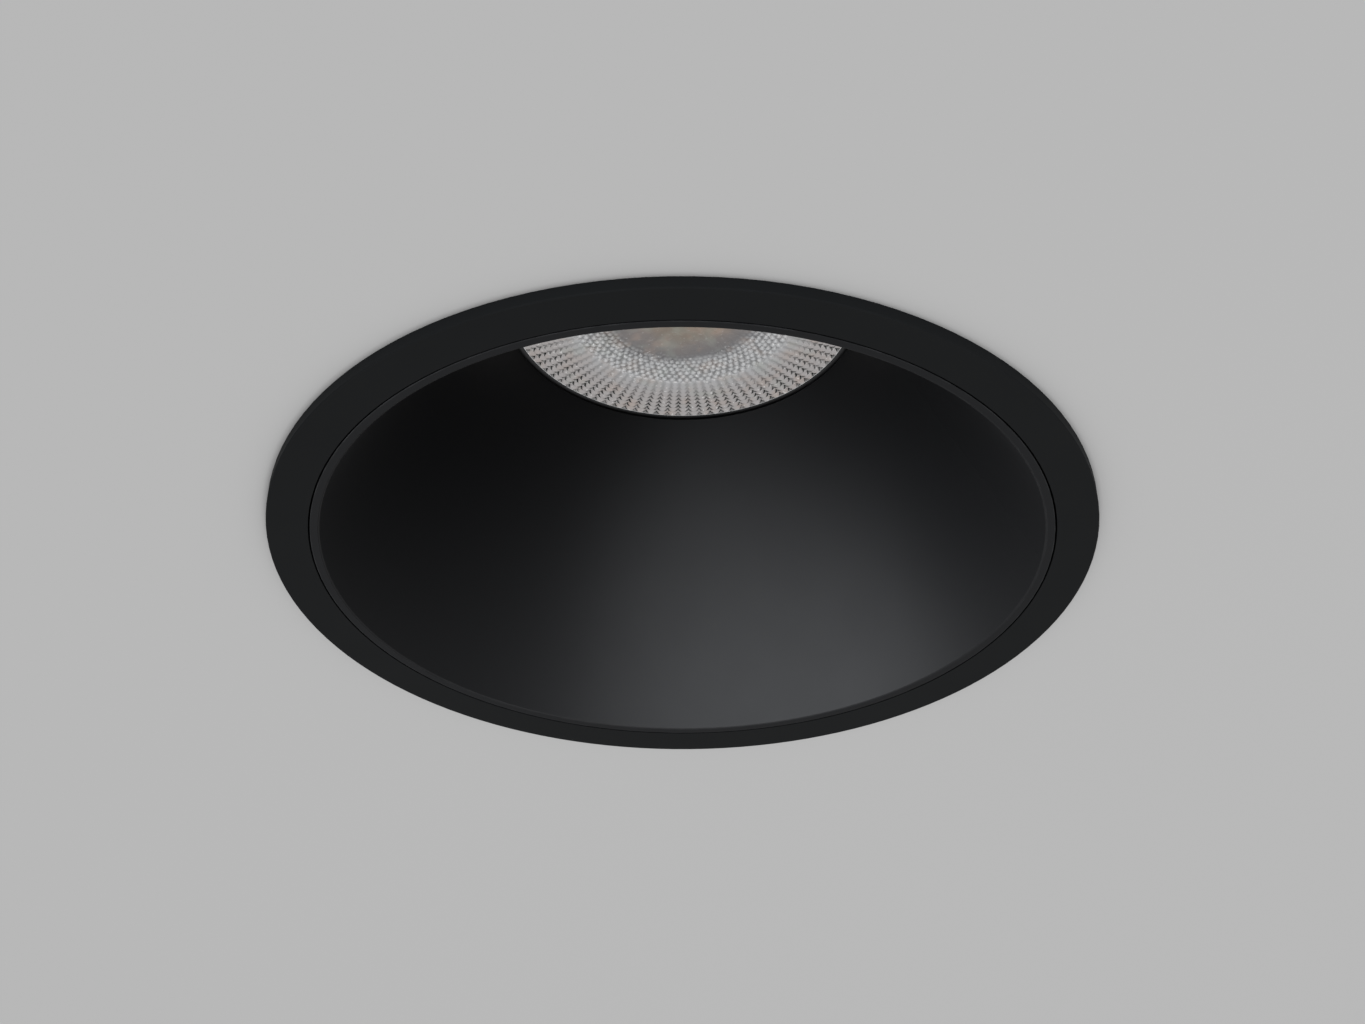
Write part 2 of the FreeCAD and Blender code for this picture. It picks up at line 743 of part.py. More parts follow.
def makeLightSource():
    """Board with its phosphor disc, heat-conducting pad and the holder that clamps them."""
    keep(block("led_board", "ledBoardSide", "ledBoardSide", "boardLow", "ledBoardThick"))
    keep(block("thermal_pad", "ledBoardSide", "ledBoardSide", "boardHigh", "thermalPadThick"))
    phosphor = newBody("led_phosphor")
    bevel = "phosphorThick / 2"
    profile = [
        ("0", "boardLow - phosphorThick"),
        (f"phosphorRadius - {bevel}", "boardLow - phosphorThick"),
        ("phosphorRadius", f"boardLow - phosphorThick + {bevel}"),
        ("phosphorRadius", "boardLow"),
        ("0", "boardLow"),
    ]
    revolve(phosphor, drawOutline(newSketch(phosphor, "XZ_Plane"), profile))
    keep(phosphor)

    holder = newBody("led_holder")
    profile = [
        ("holderWindow + holderFlare", "holderLow"),
        ("holderRadius", "holderLow"),
        ("holderRadius", "pedestalFace"),
        ("holderWindow", "pedestalFace"),
        ("holderWindow", "holderLow + holderFlare"),
    ]
    revolve(holder, drawOutline(newSketch(holder, "XZ_Plane"), profile))
    half = "ledBoardSide / 2 + boardRoom"
    seat = rectangle(f"-({half})", half, f"-({half})", half)
    seatSketch = drawOutline(newSketch(holder, "XY_Plane", "pedestalFace"), seat)
    pocket(holder, seatSketch, "pedestalFace - boardLow")
    spots = [("0", sign + "holderScrewCircle") for sign in ("", "-")]
    holes = drawCircles(
        newSketch(holder, "XY_Plane", "holderLow"),
        [(*spot, "smallScrewRadius + screwRoom") for spot in spots],
    )
    pocket(holder, holes, "holderThick", reverse=True)
    sinks = drawCircles(
        newSketch(holder, "XY_Plane", "holderLow"),
        [(*spot, "smallHeadRadius + screwRoom") for spot in spots],
    )
    pocket(holder, sinks, "smallHeadHeight", reverse=True)
    # sockets for the two leads, in the side towards +X
    socketRadius = "leadRadius + leadRoom"
    sockets = [(sign + "leadSpacing / 2", "leadHeight", socketRadius) for sign in ("", "-")]
    socketSketch = newSketch(holder, "YZ_Plane", "holderRadius - leadStub - leadRoom")
    pocket(holder, drawCircles(socketSketch, sockets), "holderRadius", reverse=True)
    keep(holder)


# ---------------------------------------------------------------- heat sink
def makeHeatSink():
    """Finned casting: lens chamber below, pedestal for the light source, terminal chamber above."""
    body = newBody("heat_sink")
    wallInside = "skirtRadius - lensChamberWall"
    ledgeTop = "shoulderHeight + innerLedgeHeight"
    profile = [
        ("skirtInside", "recessDepth"),
        ("skirtRadius", "recessDepth"),
        ("skirtRadius", "baseTop"),
        ("chamberOutside", "baseTop"),
        ("chamberOutside", "chamberTop"),
        ("chamberRadius", "chamberTop"),
        ("chamberRadius", "baseTop"),
        ("0", "baseTop"),
        ("0", "pedestalFace"),
        ("pedestalRadius", "pedestalFace"),
        ("pedestalRadius", "baseLow"),
        (wallInside, "baseLow"),
        (wallInside, ledgeTop),
        ("innerLedgeRadius", ledgeTop),
        ("innerLedgeRadius", "shoulderHeight"),
        ("skirtInside", "shoulderHeight"),
    ]
    revolve(body, drawOutline(newSketch(body, "XZ_Plane"), profile))

    # upright fins, half a step round so that screws stand between two of them
    finLow = "recessDepth + finFoot"
    finProfile = [
        ("skirtRadius - joinDepth", finLow),
        ("finRadius", finLow),
        ("finRadius", "chamberTop - finCrown"),
        ("finRadius - finCrown", "chamberTop"),
        ("chamberOutside - joinDepth", "chamberTop"),
        ("chamberOutside - joinDepth", "baseTop - joinDepth"),
        ("skirtRadius - joinDepth", "baseTop - joinDepth"),
    ]
    finSketch = newSketch(body, "XZ_Plane", turn=180 / sizes["finCount"])
    fin = pad(body, drawOutline(finSketch, finProfile), "finThick", centred=True)
    around(body, [fin], "finCount")

    # ears that rest on the frame's top flange, the first one towards -Y
    wide, reach = "screwBossRadius", "bodyScrewCircle"
    earOutline = [
        (f"-{wide}", f"-{reach}"),
        (wide, f"-{reach}"),
        (wide, "joinDepth - skirtRadius"),
        (f"-{wide}", "joinDepth - skirtRadius"),
    ]
    earSketch = newSketch(body, "XY_Plane", "recessDepth")
    drawOutline(earSketch, earOutline, {0: ("0", f"-{reach}", True)})
    ear = pad(body, earSketch, "earHeight")
    around(body, [ear], "armCount")
    earHoles = newSketch(body, "XY_Plane", "recessDepth")
    drawCircles(earHoles, [("0", f"-{reach}", "largeScrewRadius + screwRoom")])
    earHole = pocket(body, earHoles, "earHeight", reverse=True)
    around(body, [earHole], "armCount")

    # columns for the cover's screws
    columnSketch = newSketch(body, "XY_Plane", "baseTop - joinDepth")
    drawCircles(columnSketch, [("0", "-coverScrewCircle", "coverBossRadius")])
    column = pad(body, columnSketch, "chamberTop - baseTop + joinDepth")
    around(body, [column], "armCount")
    columnHoles = newSketch(body, "XY_Plane", "chamberTop")
    drawCircles(columnHoles, [("0", "-coverScrewCircle", "largeScrewRadius + screwFit")])
    columnHole = pocket(body, columnHoles, "coverScrewLength - coverThick + holeSpare")
    around(body, [columnHole], "armCount")

    # blind holes for the retainer, the holder and the terminal block, and the way up for the leads
    retainerHoles = newSketch(body, "XY_Plane", "shoulderHeight")
    drawCircles(retainerHoles, [("0", "retainerScrewCircle", "smallScrewRadius + screwFit")])
    grip = "retainerLow + smallHeadHeight + retainerScrewLength - shoulderHeight + holeSpare"
    retainerHole = pocket(body, retainerHoles, grip, reverse=True)
    around(body, [retainerHole], "armCount")
    holderHoles = newSketch(body, "XY_Plane", "pedestalFace")
    tap = "smallScrewRadius + screwFit"
    drawCircles(holderHoles, [("0", sign + "holderScrewCircle", tap) for sign in ("", "-")])
    pocket(body, holderHoles, "smallHeadHeight + holderScrewLength - holderThick + holeSpare", reverse=True)
    blockHole = drawCircles(newSketch(body, "XY_Plane", "baseTop"), [("0", "0", tap)])
    pocket(body, blockHole, "blockScrewLength - blockHeight + blockScrewSink + holeSpare")
    leadHoles = newSketch(body, "XY_Plane", "baseTop")
    leadHole = "grommetRadius + grommetRoom"
    drawCircles(leadHoles, [("riserReach", sign + "leadSpacing / 2", leadHole) for sign in ("", "-")])
    pocket(body, leadHoles, "baseThick")
    return keep(body)


# ---------------------------------------------------------------- leads and terminals
def tube(label, edges, radius):
    """One unbroken round tube along joined edges."""
    path = Part.Wire(edges)
    start = edges[0].valueAt(edges[0].FirstParameter)
    way = edges[0].tangentAt(edges[0].FirstParameter)
    section = Part.Wire(Part.makeCircle(radius, start, way))
    shell = Part.BRepOffsetAPI.MakePipeShell(path)
    shell.add(section)
    shell.build()
    shell.makeSolid()
    feature = doc.addObject("Part::Feature", label)
    feature.Label = label
    feature.Shape = shell.shape()
    ratio = feature.Shape.Volume / (math.pi * radius**2 * path.Length)
    print(f"{label}: length {path.Length:.1f}, volume / (section x length) {ratio:.4f}")
    return feature


def quarterBend(corner, arriving, leaving, radius):
    """Arc that rounds a square corner between two straight runs."""
    start = corner - arriving * radius
    end = corner + leaving * radius
    centre = start + leaving * radius
    middle = centre + (corner - centre).normalize() * radius
    return start, middle, end


def makeLead(label, side):
    """Lead from the holder's socket, up through the base and back in to the terminal block."""
    y = side * value("leadSpacing / 2")
    outwards, upwards, inwards = Vector(1, 0, 0), Vector(0, 0, 1), Vector(-1, 0, 0)
    bend = value("leadBend")
    begin = Vector(value("holderRadius - leadStub"), y, value("leadHeight"))
    lowCorner = Vector(value("riserReach"), y, value("leadHeight"))
    highCorner = Vector(value("riserReach"), y, value("wireHeight"))
    end = Vector(value("blockLength / 2 - terminalScrewReach"), y, value("wireHeight"))
    low = quarterBend(lowCorner, outwards, upwards, bend)
    high = quarterBend(highCorner, upwards, inwards, bend)
    edges = [
        Part.LineSegment(begin, low[0]).toShape(),
        Part.Arc(*low).toShape(),
        Part.LineSegment(low[2], high[0]).toShape(),
        Part.Arc(*high).toShape(),
        Part.LineSegment(high[2], end).toShape(),
    ]
    print(f"{label}: bends of radius {bend}")
    return keep(tube(label, edges, value("leadRadius")))


def makeGrommets():
    """Rubber bushes that line the leads' holes in the base."""
    body = newBody("grommet_pattern")
    bore = "leadRadius + leadRoom"
    profile = [
        (bore, "-baseThick"),
        ("grommetRadius", "-baseThick"),
        ("grommetRadius", "0"),
        ("grommetRadius + grommetFlange", "0"),
        ("grommetRadius + grommetFlange", "grommetFlangeThick"),
        (bore, "grommetFlangeThick"),
    ]
    revolve(body, drawOutline(newSketch(body, "XZ_Plane"), profile))
    reach, half, high = (value(t) for t in ("riserReach", "leadSpacing / 2", "baseTop"))
    group("lead_grommets", body, [Vector(reach, side * half, high) for side in (-1, 1)])


def makeTerminals():
    """Two-pole screw terminal block with its metal tubes and screws."""
    body = block("terminal_block", "blockLength", "blockWidth", "baseTop", "blockHeight")
    poles = [sign + "leadSpacing / 2" for sign in ("", "-")]
    bores = newSketch(body, "YZ_Plane", "-blockLength")
    drawCircles(bores, [(pole, "wireHeight", "insertSeat") for pole in poles])
    pocket(body, bores, "2 * blockLength", reverse=True)
    wells = newSketch(body, "XY_Plane", "blockTop")
    wellRadius = "smallHeadRadius + screwRoom"
    reaches = [sign + "terminalScrewReach" for sign in ("", "-")]
    drawCircles(wells, [(reach, pole, wellRadius) for reach in reaches for pole in poles])
    pocket(body, wells, "blockTop - wireHeight")
    for radius, depth in (("smallHeadRadius", "blockScrewSink"), ("smallScrewRadius", "blockHeight")):
        middle = newSketch(body, "XY_Plane", "blockTop")
        pocket(body, drawCircles(middle, [("0", "0", f"{radius} + blockScrewRoom")]), depth)
    half = "blockSlotWidth / 2"
    slot = rectangle("-blockLength", "blockLength", f"-{half}", half)
    pocket(body, drawOutline(newSketch(body, "XY_Plane", "blockTop"), slot), "blockSlotDepth")
    keep(body)

    insert = newBody("insert_pattern")
    halfLength = "blockLength / 2 - insertInset"
    wall = drawCircles(newSketch(insert, "YZ_Plane", f"-({halfLength})"), [("0", "0", "insertRadius")])
    pad(insert, wall, f"2 * ({halfLength})")
    bore = drawCircles(newSketch(insert, "YZ_Plane", "-blockLength"), [("0", "0", "insertBore")])
    pocket(insert, bore, "2 * blockLength", reverse=True)
    taps = newSketch(insert, "XY_Plane", "insertRadius + cutSpare")
    drawCircles(taps, [(reach, "0", "smallScrewRadius + screwFit") for reach in reaches])
    pocket(insert, taps, "insertRadius + cutSpare")
    height = value("wireHeight")
    poleReach = value("leadSpacing / 2")
    group("terminal_inserts", insert, [Vector(0, side * poleReach, height) for side in (-1, 1)])

    # each screw's tip stops just above the wire
    headHeight = "blockHeight - blockWireHeight - smallHeadHeight - terminalScrewDrop"
    length = f"{headHeight} - leadRadius - screwFit"
    screw = screwPattern("terminal_screw_pattern", "small", length)
    reach = value("terminalScrewReach")
    spots = [
        Vector(along * reach, across * poleReach, height + value(headHeight))
        for along in (-1, 1)
        for across in (-1, 1)
    ]
    group("terminal_screws", screw, spots)


# ---------------------------------------------------------------- rear cover and cable gland
def makeRearCover():
    body = newBody("rear_cover")
    hole = "glandStemRadius + glandFit"
    profile = [
        (hole, "chamberTop"),
        ("coverSealInside", "chamberTop"),
        ("coverSealInside", "chamberTop + coverSealDepth"),
        ("coverSealOutside", "chamberTop + coverSealDepth"),
        ("coverSealOutside", "chamberTop"),
        ("coverRadius", "chamberTop"),
        ("coverRadius", "coverTop - coverBevel"),
        ("coverRadius - coverBevel", "coverTop"),
        (hole, "coverTop"),
    ]
    revolve(body, drawOutline(newSketch(body, "XZ_Plane"), profile))
    holes = newSketch(body, "XY_Plane", "coverTop")
    drawCircles(holes, [("0", "-coverScrewCircle", "largeScrewRadius + screwRoom")])
    screwHole = pocket(body, holes, "coverThick")
    around(body, [screwHole], "armCount")
    keep(body)
    inside, outside = "coverSealInside + sealRoom", "coverSealOutside - sealRoom"
    keep(ring("cover_seal", inside, outside, "chamberTop", "chamberTop + coverSealDepth"))


def bevelHexagon(body, radius, low, high, bottom=False):
    """Turn the corners of a hexagon down to a cone, as on a nut."""
    across = f"({radius}) * cos(30deg)"
    drop = f"({radius}) - ({across})"
    corners = [
        (f"({across}) + hexLand", high),
        (f"({radius}) + cutSpare", high),
        (f"({radius}) + cutSpare", f"({high}) - ({drop})"),
    ]
    revolve(body, drawOutline(newSketch(body, "XZ_Plane"), corners), cutting=True)
    if bottom:
        corners = [
            (f"({radius}) + cutSpare", low),
            (f"({across}) + hexLand", low),
            (f"({radius}) + cutSpare", f"({low}) + ({drop})"),
        ]
        revolve(body, drawOutline(newSketch(body, "XZ_Plane"), corners), cutting=True)


def makeGland():
    """Cable gland: threaded body, washer, nut below the cover, rubber seal and domed cap."""
    body = newBody("gland_body")
    hexSketch = drawOutline(newSketch(body, "XY_Plane", "glandHexLow"), hexagon("glandHexRadius"))
    pad(body, hexSketch, "glandHexHeight")
    bevelHexagon(body, "glandHexRadius", "glandHexLow", "glandHexTop")
    stemLow = "chamberTop - glandStemLength"
    profile = [
        ("0", stemLow),
        ("glandStemRadius - glandBevel", stemLow),
        ("glandStemRadius", f"{stemLow} + glandBevel"),
        ("glandStemRadius", "glandHexLow + joinDepth"),
        ("glandCollarRadius", "glandHexLow + joinDepth"),
        ("glandCollarRadius", "glandCollarTop - glandBevel"),
        ("glandCollarRadius - glandBevel", "glandCollarTop"),
        ("0", "glandCollarTop"),
    ]
    revolve(body, drawOutline(newSketch(body, "XZ_Plane"), profile))
    seat = "glandSealRadius + sealRoom"
    hollow = [
        ("0", f"{stemLow} - cutSpare"),
        ("glandBore", f"{stemLow} - cutSpare"),
        ("glandBore", "glandSealLow"),
        (seat, "glandSealLow"),
        (seat, "glandCollarTop + cutSpare"),
        ("0", "glandCollarTop + cutSpare"),
    ]
    revolve(body, drawOutline(newSketch(body, "XZ_Plane"), hollow), cutting=True)
    keep(body)

    inside = "glandStemRadius + glandFit"
    keep(ring("gland_washer", inside, f"{inside} + glandWasherWidth", "coverTop", "glandHexLow"))
    keep(ring("gland_seal", "glandSealBore", "glandSealRadius", "glandSealLow", "glandSealTop"))

    nut = newBody("gland_locknut")
    nutLow = "chamberTop - glandNutHeight"
    nutSketch = drawOutline(newSketch(nut, "XY_Plane", nutLow), hexagon("glandNutRadius"))
    pad(nut, nutSketch, "glandNutHeight")
    bevelHexagon(nut, "glandNutRadius", nutLow, "chamberTop", bottom=True)
    nutBore = newSketch(nut, "XY_Plane", "chamberTop")
    pocket(nut, drawCircles(nutBore, [("0", "0", inside)]), "glandNutHeight")
    keep(nut)

    cap = newBody("gland_cap")
    capSketch = drawOutline(newSketch(cap, "XY_Plane", "glandCapLow"), hexagon("glandCapRadius"))
    pad(cap, capSketch, "glandCapHex")
    bevelHexagon(cap, "glandCapRadius", "glandCapLow", "glandCapWaist", bottom=True)
    waist = "glandCapRadius * cos(30deg) - hexLand"
    lip = "glandCapMouth + glandCapLip"
    dome = [
        ("0", "glandCapWaist - joinDepth"),
        (waist, "glandCapWaist - joinDepth"),
        (waist, "glandCapWaist"),
        (lip, "glandCapTop"),
        ("0", "glandCapTop"),
    ]
    domeArc = arcCentre(dome[2], dome[3], "2 * glandCapDome", "+")
    revolve(cap, drawOutline(newSketch(cap, "XZ_Plane"), dome, {2: (*domeArc, True)}))
    thread = "glandCollarRadius + glandFit"
    throat = "glandSealRadius + glandFit"
    hollow = [
        ("0", "glandCapLow - cutSpare"),
        (thread, "glandCapLow - cutSpare"),
        (thread, "glandCollarTop + glandFit"),
        (throat, "glandCollarTop + glandFit"),
        (throat, "glandSealTop + glandFit"),
        ("glandCapMouth", "glandSealTop + glandFit + glandCapSlope"),
        ("glandCapMouth", "glandCapTop + cutSpare"),
        ("0", "glandCapTop + cutSpare"),
    ]
    revolve(cap, drawOutline(newSketch(cap, "XZ_Plane"), hollow), cutting=True)
    keep(cap)


# ---------------------------------------------------------------- spring clips
def makeBracket(label, place):
    """Folded steel bracket: foot on the collar, two ears for the hinge pin."""
    body = newBody(label)
    half = "footHalfWidth"
    end = f"sqrt(footReach ^ 2 - {half} ^ 2)"
    foot = [("footInside", f"-{half}"), (end, f"-{half}"), (end, half), ("footInside", half)]
    footSketch = newSketch(body, "XY_Plane", "collarHeight")
    pad(body, drawOutline(footSketch, foot, {1: ("0", "0", True)}), "footThick")
    ear = [
        ("footInside + earFootInset", "collarHeight + earFootInset"),
        ("footReach - earFootSetback", "collarHeight + earFootInset"),
        ("pinReach + earRadius", "pinHeight"),
        ("pinReach - earRadius", "pinHeight"),
    ]
    arcs = {2: ("pinReach", "pinHeight", True)}
    for lift, reverse in (("earInside", False), ("-earInside", True)):
        earSketch = newSketch(body, "XZ_Plane", lift)
        pad(body, drawOutline(earSketch, ear, arcs), "earThick", reverse=reverse)
    pinHole = newSketch(body, "XZ_Plane")
    drawCircles(pinHole, [("pinReach", "pinHeight", "pinRadius + pinFit")])
    pocket(body, pinHole, "3 * earOutside", centred=True)
    holes = newSketch(body, "XY_Plane", "footTop")
    clearance = "smallScrewRadius + screwRoom"
    circles = [("bracketScrewReach", sign + "bracketScrewSide", clearance) for sign in ("", "-")]
    circles.append(("pinReach + coilRadius", "legSide", "wireRadius + legHoleRoom"))
    pocket(body, drawCircles(holes, circles), "footThick")
    body.Placement = place
    return keep(body)


def makePin(label, place):
    """Hinge pin with a formed head at each end."""
    body = newBody(label)
    shank = drawCircles(newSketch(body, "XZ_Plane"), [("0", "0", "pinRadius")])
    pad(body, shank, "2 * (earOutside + pinFit) + pinHeadThick", centred=True)
    for lift, reverse in (("earOutside + pinFit", False), ("-(earOutside + pinFit)", True)):
        head = drawCircles(newSketch(body, "XZ_Plane", lift), [("0", "0", "pinHeadRadius")])
        pad(body, head, "pinHeadThick", reverse=reverse)
    body.Placement = place
    return keep(body)


def bladeOutline(root, reach, half, corner):
    """Flat outline with two rounded corners at its far end."""
    corners = [
        (root, f"-({half})"),
        (f"({reach}) - {corner}", f"-({half})"),
        (reach, f"{corner} - ({half})"),
        (reach, f"({half}) - {corner}"),
        (f"({reach}) - {corner}", half),
        (root, half),
    ]
    arcs = {
        1: (f"({reach}) - {corner}", f"{corner} - ({half})", True),
        3: (f"({reach}) - {corner}", f"({half}) - {corner}", True),
    }
    return corners, arcs


def makeBlade(label, place):
    """Spring clip's blade, along x from the hinge axis, with two cheeks round the pin."""
    body = newBody(label)
    shape = bladeOutline("bladeRoot", "bladeReach", "bladeWidth / 2", "bladeCorner")
    pad(body, drawOutline(newSketch(body, "XY_Plane", "-bladeDrop"), *shape), "bladeThick")
    cheek = [
        ("bladeRoot", "-bladeDrop"),
        ("cheekLength", "-bladeDrop"),
        ("cheekLength", "-bladeTopDrop"),
        ("cheekRadius", "0"),
        ("0", "-cheekRadius"),
    ]
    for lift, reverse in (("cheekInside", False), ("-cheekInside", True)):
        sketch = newSketch(body, "XZ_Plane", lift)
        drawOutline(sketch, cheek, {3: ("0", "0", True)})
        pad(body, sketch, "cheekThick", reverse=reverse)
    pinHole = newSketch(body, "XZ_Plane")
    drawCircles(pinHole, [("0", "0", "pinRadius + hingeFit")])
    pocket(body, pinHole, "2 * bladeWidth", centred=True)
    body.Placement = place
    return keep(body)


def makeSleeve(label, place):
    """Rubber sleeve over the blade's far end."""
    body = newBody(label)
    start = "bladeReach - sleeveLength"
    shape = bladeOutline(start, "bladeReach + sleeveWall", "bladeWidth / 2 + sleeveWall", "bladeCorner")
    sketch = drawOutline(newSketch(body, "XY_Plane", "-bladeDrop - sleeveWall"), *shape)
    pad(body, sketch, "bladeThick + 2 * sleeveWall")
    half = "bladeWidth / 2 + sleeveFit"
    slot = rectangle(f"-({half})", half, "-bladeDrop", "-bladeTopDrop")
    slotSketch = drawOutline(newSketch(body, "YZ_Plane", start), slot)
    pocket(body, slotSketch, "sleeveLength + sleeveFit", reverse=True)
    body.Placement = place
    return keep(body)


def arcEdge(start, control, end):
    """Arc from start to end whose end tangents meet at the control point."""
    middle = (start + end) * 0.5
    cosine = (end - start).Length / 2 / (control - start).Length
    top = middle + (control - middle) * (cosine / (1 + cosine))
    return Part.Arc(start, top, end).toShape()


def biarc(start, startWay, end, endWay):
    """Two arcs that join smoothly, leaving start and reaching end in the given directions."""
    chord = end - start
    ways = startWay + endWay
    spread = 2 * (1 - startWay.dot(endWay))
    along = chord.dot(ways)
    reach = (math.sqrt(along**2 + spread * chord.dot(chord)) - along) / spread
    near = start + startWay * reach
    far = end - endWay * reach
    joint = (near + far) * 0.5
    return [arcEdge(start, near, joint), arcEdge(joint, far, end)]


def leastGap(edges, radius, skip):
    """Smallest air gap of a wire to itself, leaving out points nearer than skip along it."""
    spots = []
    travelled = 0.0
    probeStep = 0.25
    for edge in edges:
        steps = max(2, int(edge.Length / probeStep))
        for index in range(steps):
            along = edge.Length * index / steps
            spots.append((travelled + along, edge.valueAt(edge.getParameterByLength(along))))
        travelled += edge.Length
    least = min(
        (b[1] - a[1]).Length
        for i, a in enumerate(spots)
        for b in spots[i + 1 :]
        if b[0] - a[0] > skip
    )
    return least - 2 * radius


def makeSpring(label, place):
    """Torsion spring round the pin: one leg down into the foot, the other out along the blade."""
    radius = value("coilRadius")
    wire = value("wireRadius")
    total = 360 * value("coilTurns")
    start = value("legSide")
    steps = round(total / 90)

    def spot(degrees):
        angle = math.radians(degrees)
        across = start + value("coilPitch") * degrees / 360
        return Vector(radius * math.cos(angle), across, radius * math.sin(angle))

    def way(degrees, climbing):
        angle = math.radians(degrees)
        climb = value("coilPitch") / (2 * math.pi) if climbing else 0
        return Vector(-radius * math.sin(angle), climb, radius * math.cos(angle)).normalize()

    floor = Vector(radius, start, value("collarHeight + legTipInset - pinHeight"))
    edges = [Part.LineSegment(floor, spot(0)).toShape()]
    for step in range(steps):
        a, b = total * step / steps, total * (step + 1) / steps
        edges += biarc(spot(a), way(a, step > 0), spot(b), way(b, step < steps - 1))
    end = spot(total)
    edges.append(Part.LineSegment(end, end + way(total, False) * value("legReach")).toShape())
    spring = tube(label, edges, wire)
    print(f"{label}: least gap to itself {leastGap(edges, wire, math.pi * radius):.2f}")
    spring.Placement = place
    return keep(spring)


def makeClips():
    """The spring clips, each with its own bracket, pin, blade, spring and sleeve."""
    hinge = Placement(Vector(value("pinReach"), 0, value("pinHeight")), Rotation())
    tilt = Placement(Vector(), Rotation(Vector(0, 1, 0), value("bladeTilt")))
    for number, degrees in enumerate(clipAngles, start=1):
        turn = Placement(Vector(), Rotation(Vector(0, 0, 1), degrees))
        makeBracket(f"clip_bracket_{number}", turn)
        makePin(f"clip_pin_{number}", turn * hinge)
        makeBlade(f"clip_blade_{number}", turn * hinge * tilt)
        makeSleeve(f"clip_sleeve_{number}", turn * hinge * tilt)
        makeSpring(f"clip_spring_{number}", turn * hinge)


def makeScrews():
    """Every group of fixing screws."""
    body = screwPattern("body_screw_pattern", "large", "bodyScrewLength")
    height = value("recessDepth + earHeight")
    group("body_screws", body, [polar(value("bodyScrewCircle"), a, height) for a in armAngles])

    retainer = screwPattern("retainer_screw_pattern", "small", "retainerScrewLength")
    height = value("retainerLow + smallHeadHeight")
    spots = [polar(value("retainerScrewCircle"), a, height) for a in clipAngles]
    group("retainer_screws", retainer, spots, headDown=True)

    holder = screwPattern("holder_screw_pattern", "small", "holderScrewLength")
    reach, height = value("holderScrewCircle"), value("holderLow + smallHeadHeight")
    spots = [Vector(0, side * reach, height) for side in (-1, 1)]
    group("holder_screws", holder, spots, headDown=True)

    cover = screwPattern("cover_screw_pattern", "large", "coverScrewLength")
    spots = [polar(value("coverScrewCircle"), a, value("coverTop")) for a in armAngles]
    group("cover_screws", cover, spots)

    blockScrew = screwPattern("block_screw_pattern", "small", "blockScrewLength")
    group("block_screw", blockScrew, [Vector(0, 0, value("blockTop - blockScrewSink"))])

    bracket = screwPattern("bracket_screw_pattern", "small", "bracketScrewLength")
    reach, side, height = (value(t) for t in ("bracketScrewReach", "bracketScrewSide", "footTop"))
    spots = []
    for degrees in clipAngles:
        turn = Rotation(Vector(0, 0, 1), degrees)
        spots += [turn.multVec(Vector(reach, sign * side, height)) for sign in (-1, 1)]
    group("bracket_screws", bracket, spots)


makeTrimFrame()
makeReflectorCone()
makeSeals()
makeLens()
makeRetainer()
makeLightSource()
makeHeatSink()
makeLead("lead_positive", 1)
makeLead("lead_negative", -1)
makeGrommets()
makeTerminals()
makeRearCover()
makeGland()
makeClips()
makeScrews()
doc.recompute()

# ---------------------------------------------------------------- checks and export
for item in doc.Objects:
    if "Invalid" in item.State or "Error" in item.State:
        raise RuntimeError(f"{item.Label} could not be computed: {item.State}")
for label, node in nodes.items():
    if node.Shape.isNull() or not node.Shape.isValid() or not node.Shape.Solids:
        raise RuntimeError(f"{label} has no valid solid")
for label, node in nodes.items():
    node.Shape.exportStep(f"parts/{label}.step")
    print(f"{label}: {len(node.Shape.Solids)} solid(s), {node.Shape.Volume:.1f} mm3")
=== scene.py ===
import json
import math
import random

import bmesh
import bpy
from mathutils import Matrix, Vector


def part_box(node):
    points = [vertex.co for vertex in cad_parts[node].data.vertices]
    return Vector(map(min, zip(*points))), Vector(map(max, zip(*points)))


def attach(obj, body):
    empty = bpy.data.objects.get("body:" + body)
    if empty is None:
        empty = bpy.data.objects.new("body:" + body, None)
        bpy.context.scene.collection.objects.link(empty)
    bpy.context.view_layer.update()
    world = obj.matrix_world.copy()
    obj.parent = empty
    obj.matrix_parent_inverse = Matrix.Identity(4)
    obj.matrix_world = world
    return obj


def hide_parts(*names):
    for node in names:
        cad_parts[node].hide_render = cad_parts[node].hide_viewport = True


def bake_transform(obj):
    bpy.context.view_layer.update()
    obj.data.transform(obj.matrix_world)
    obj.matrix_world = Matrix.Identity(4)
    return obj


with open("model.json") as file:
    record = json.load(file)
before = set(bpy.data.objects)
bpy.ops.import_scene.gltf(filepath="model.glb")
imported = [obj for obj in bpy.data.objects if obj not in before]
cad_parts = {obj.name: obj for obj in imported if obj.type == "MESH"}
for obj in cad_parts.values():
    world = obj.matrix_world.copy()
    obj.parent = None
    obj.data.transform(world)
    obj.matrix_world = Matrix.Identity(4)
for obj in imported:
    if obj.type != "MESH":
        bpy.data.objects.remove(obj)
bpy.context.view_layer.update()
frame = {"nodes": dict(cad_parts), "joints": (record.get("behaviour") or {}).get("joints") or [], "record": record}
mm = 0.001
nodes = frame["nodes"]
print("frame loaded:", len(nodes), "CAD nodes")


def putInScene(name, data):
    thing = bpy.data.objects.new(name, data)
    bpy.context.scene.collection.objects.link(thing)
    return thing


# camera, at the angle of the photograph: below the soffit, looking up and away
cameraView = {
    "lens": 50.0,  # in mm, with the usual 36 mm sensor
    "distance": 0.25507,  # in m, from the light's axis in the plane of the soffit
    "below": 33.32,  # degrees under the soffit
    "tiltUp": 1.128,  # degrees more, so that the mouth sits just under the picture's middle
    "clipStart": 0.01,
}


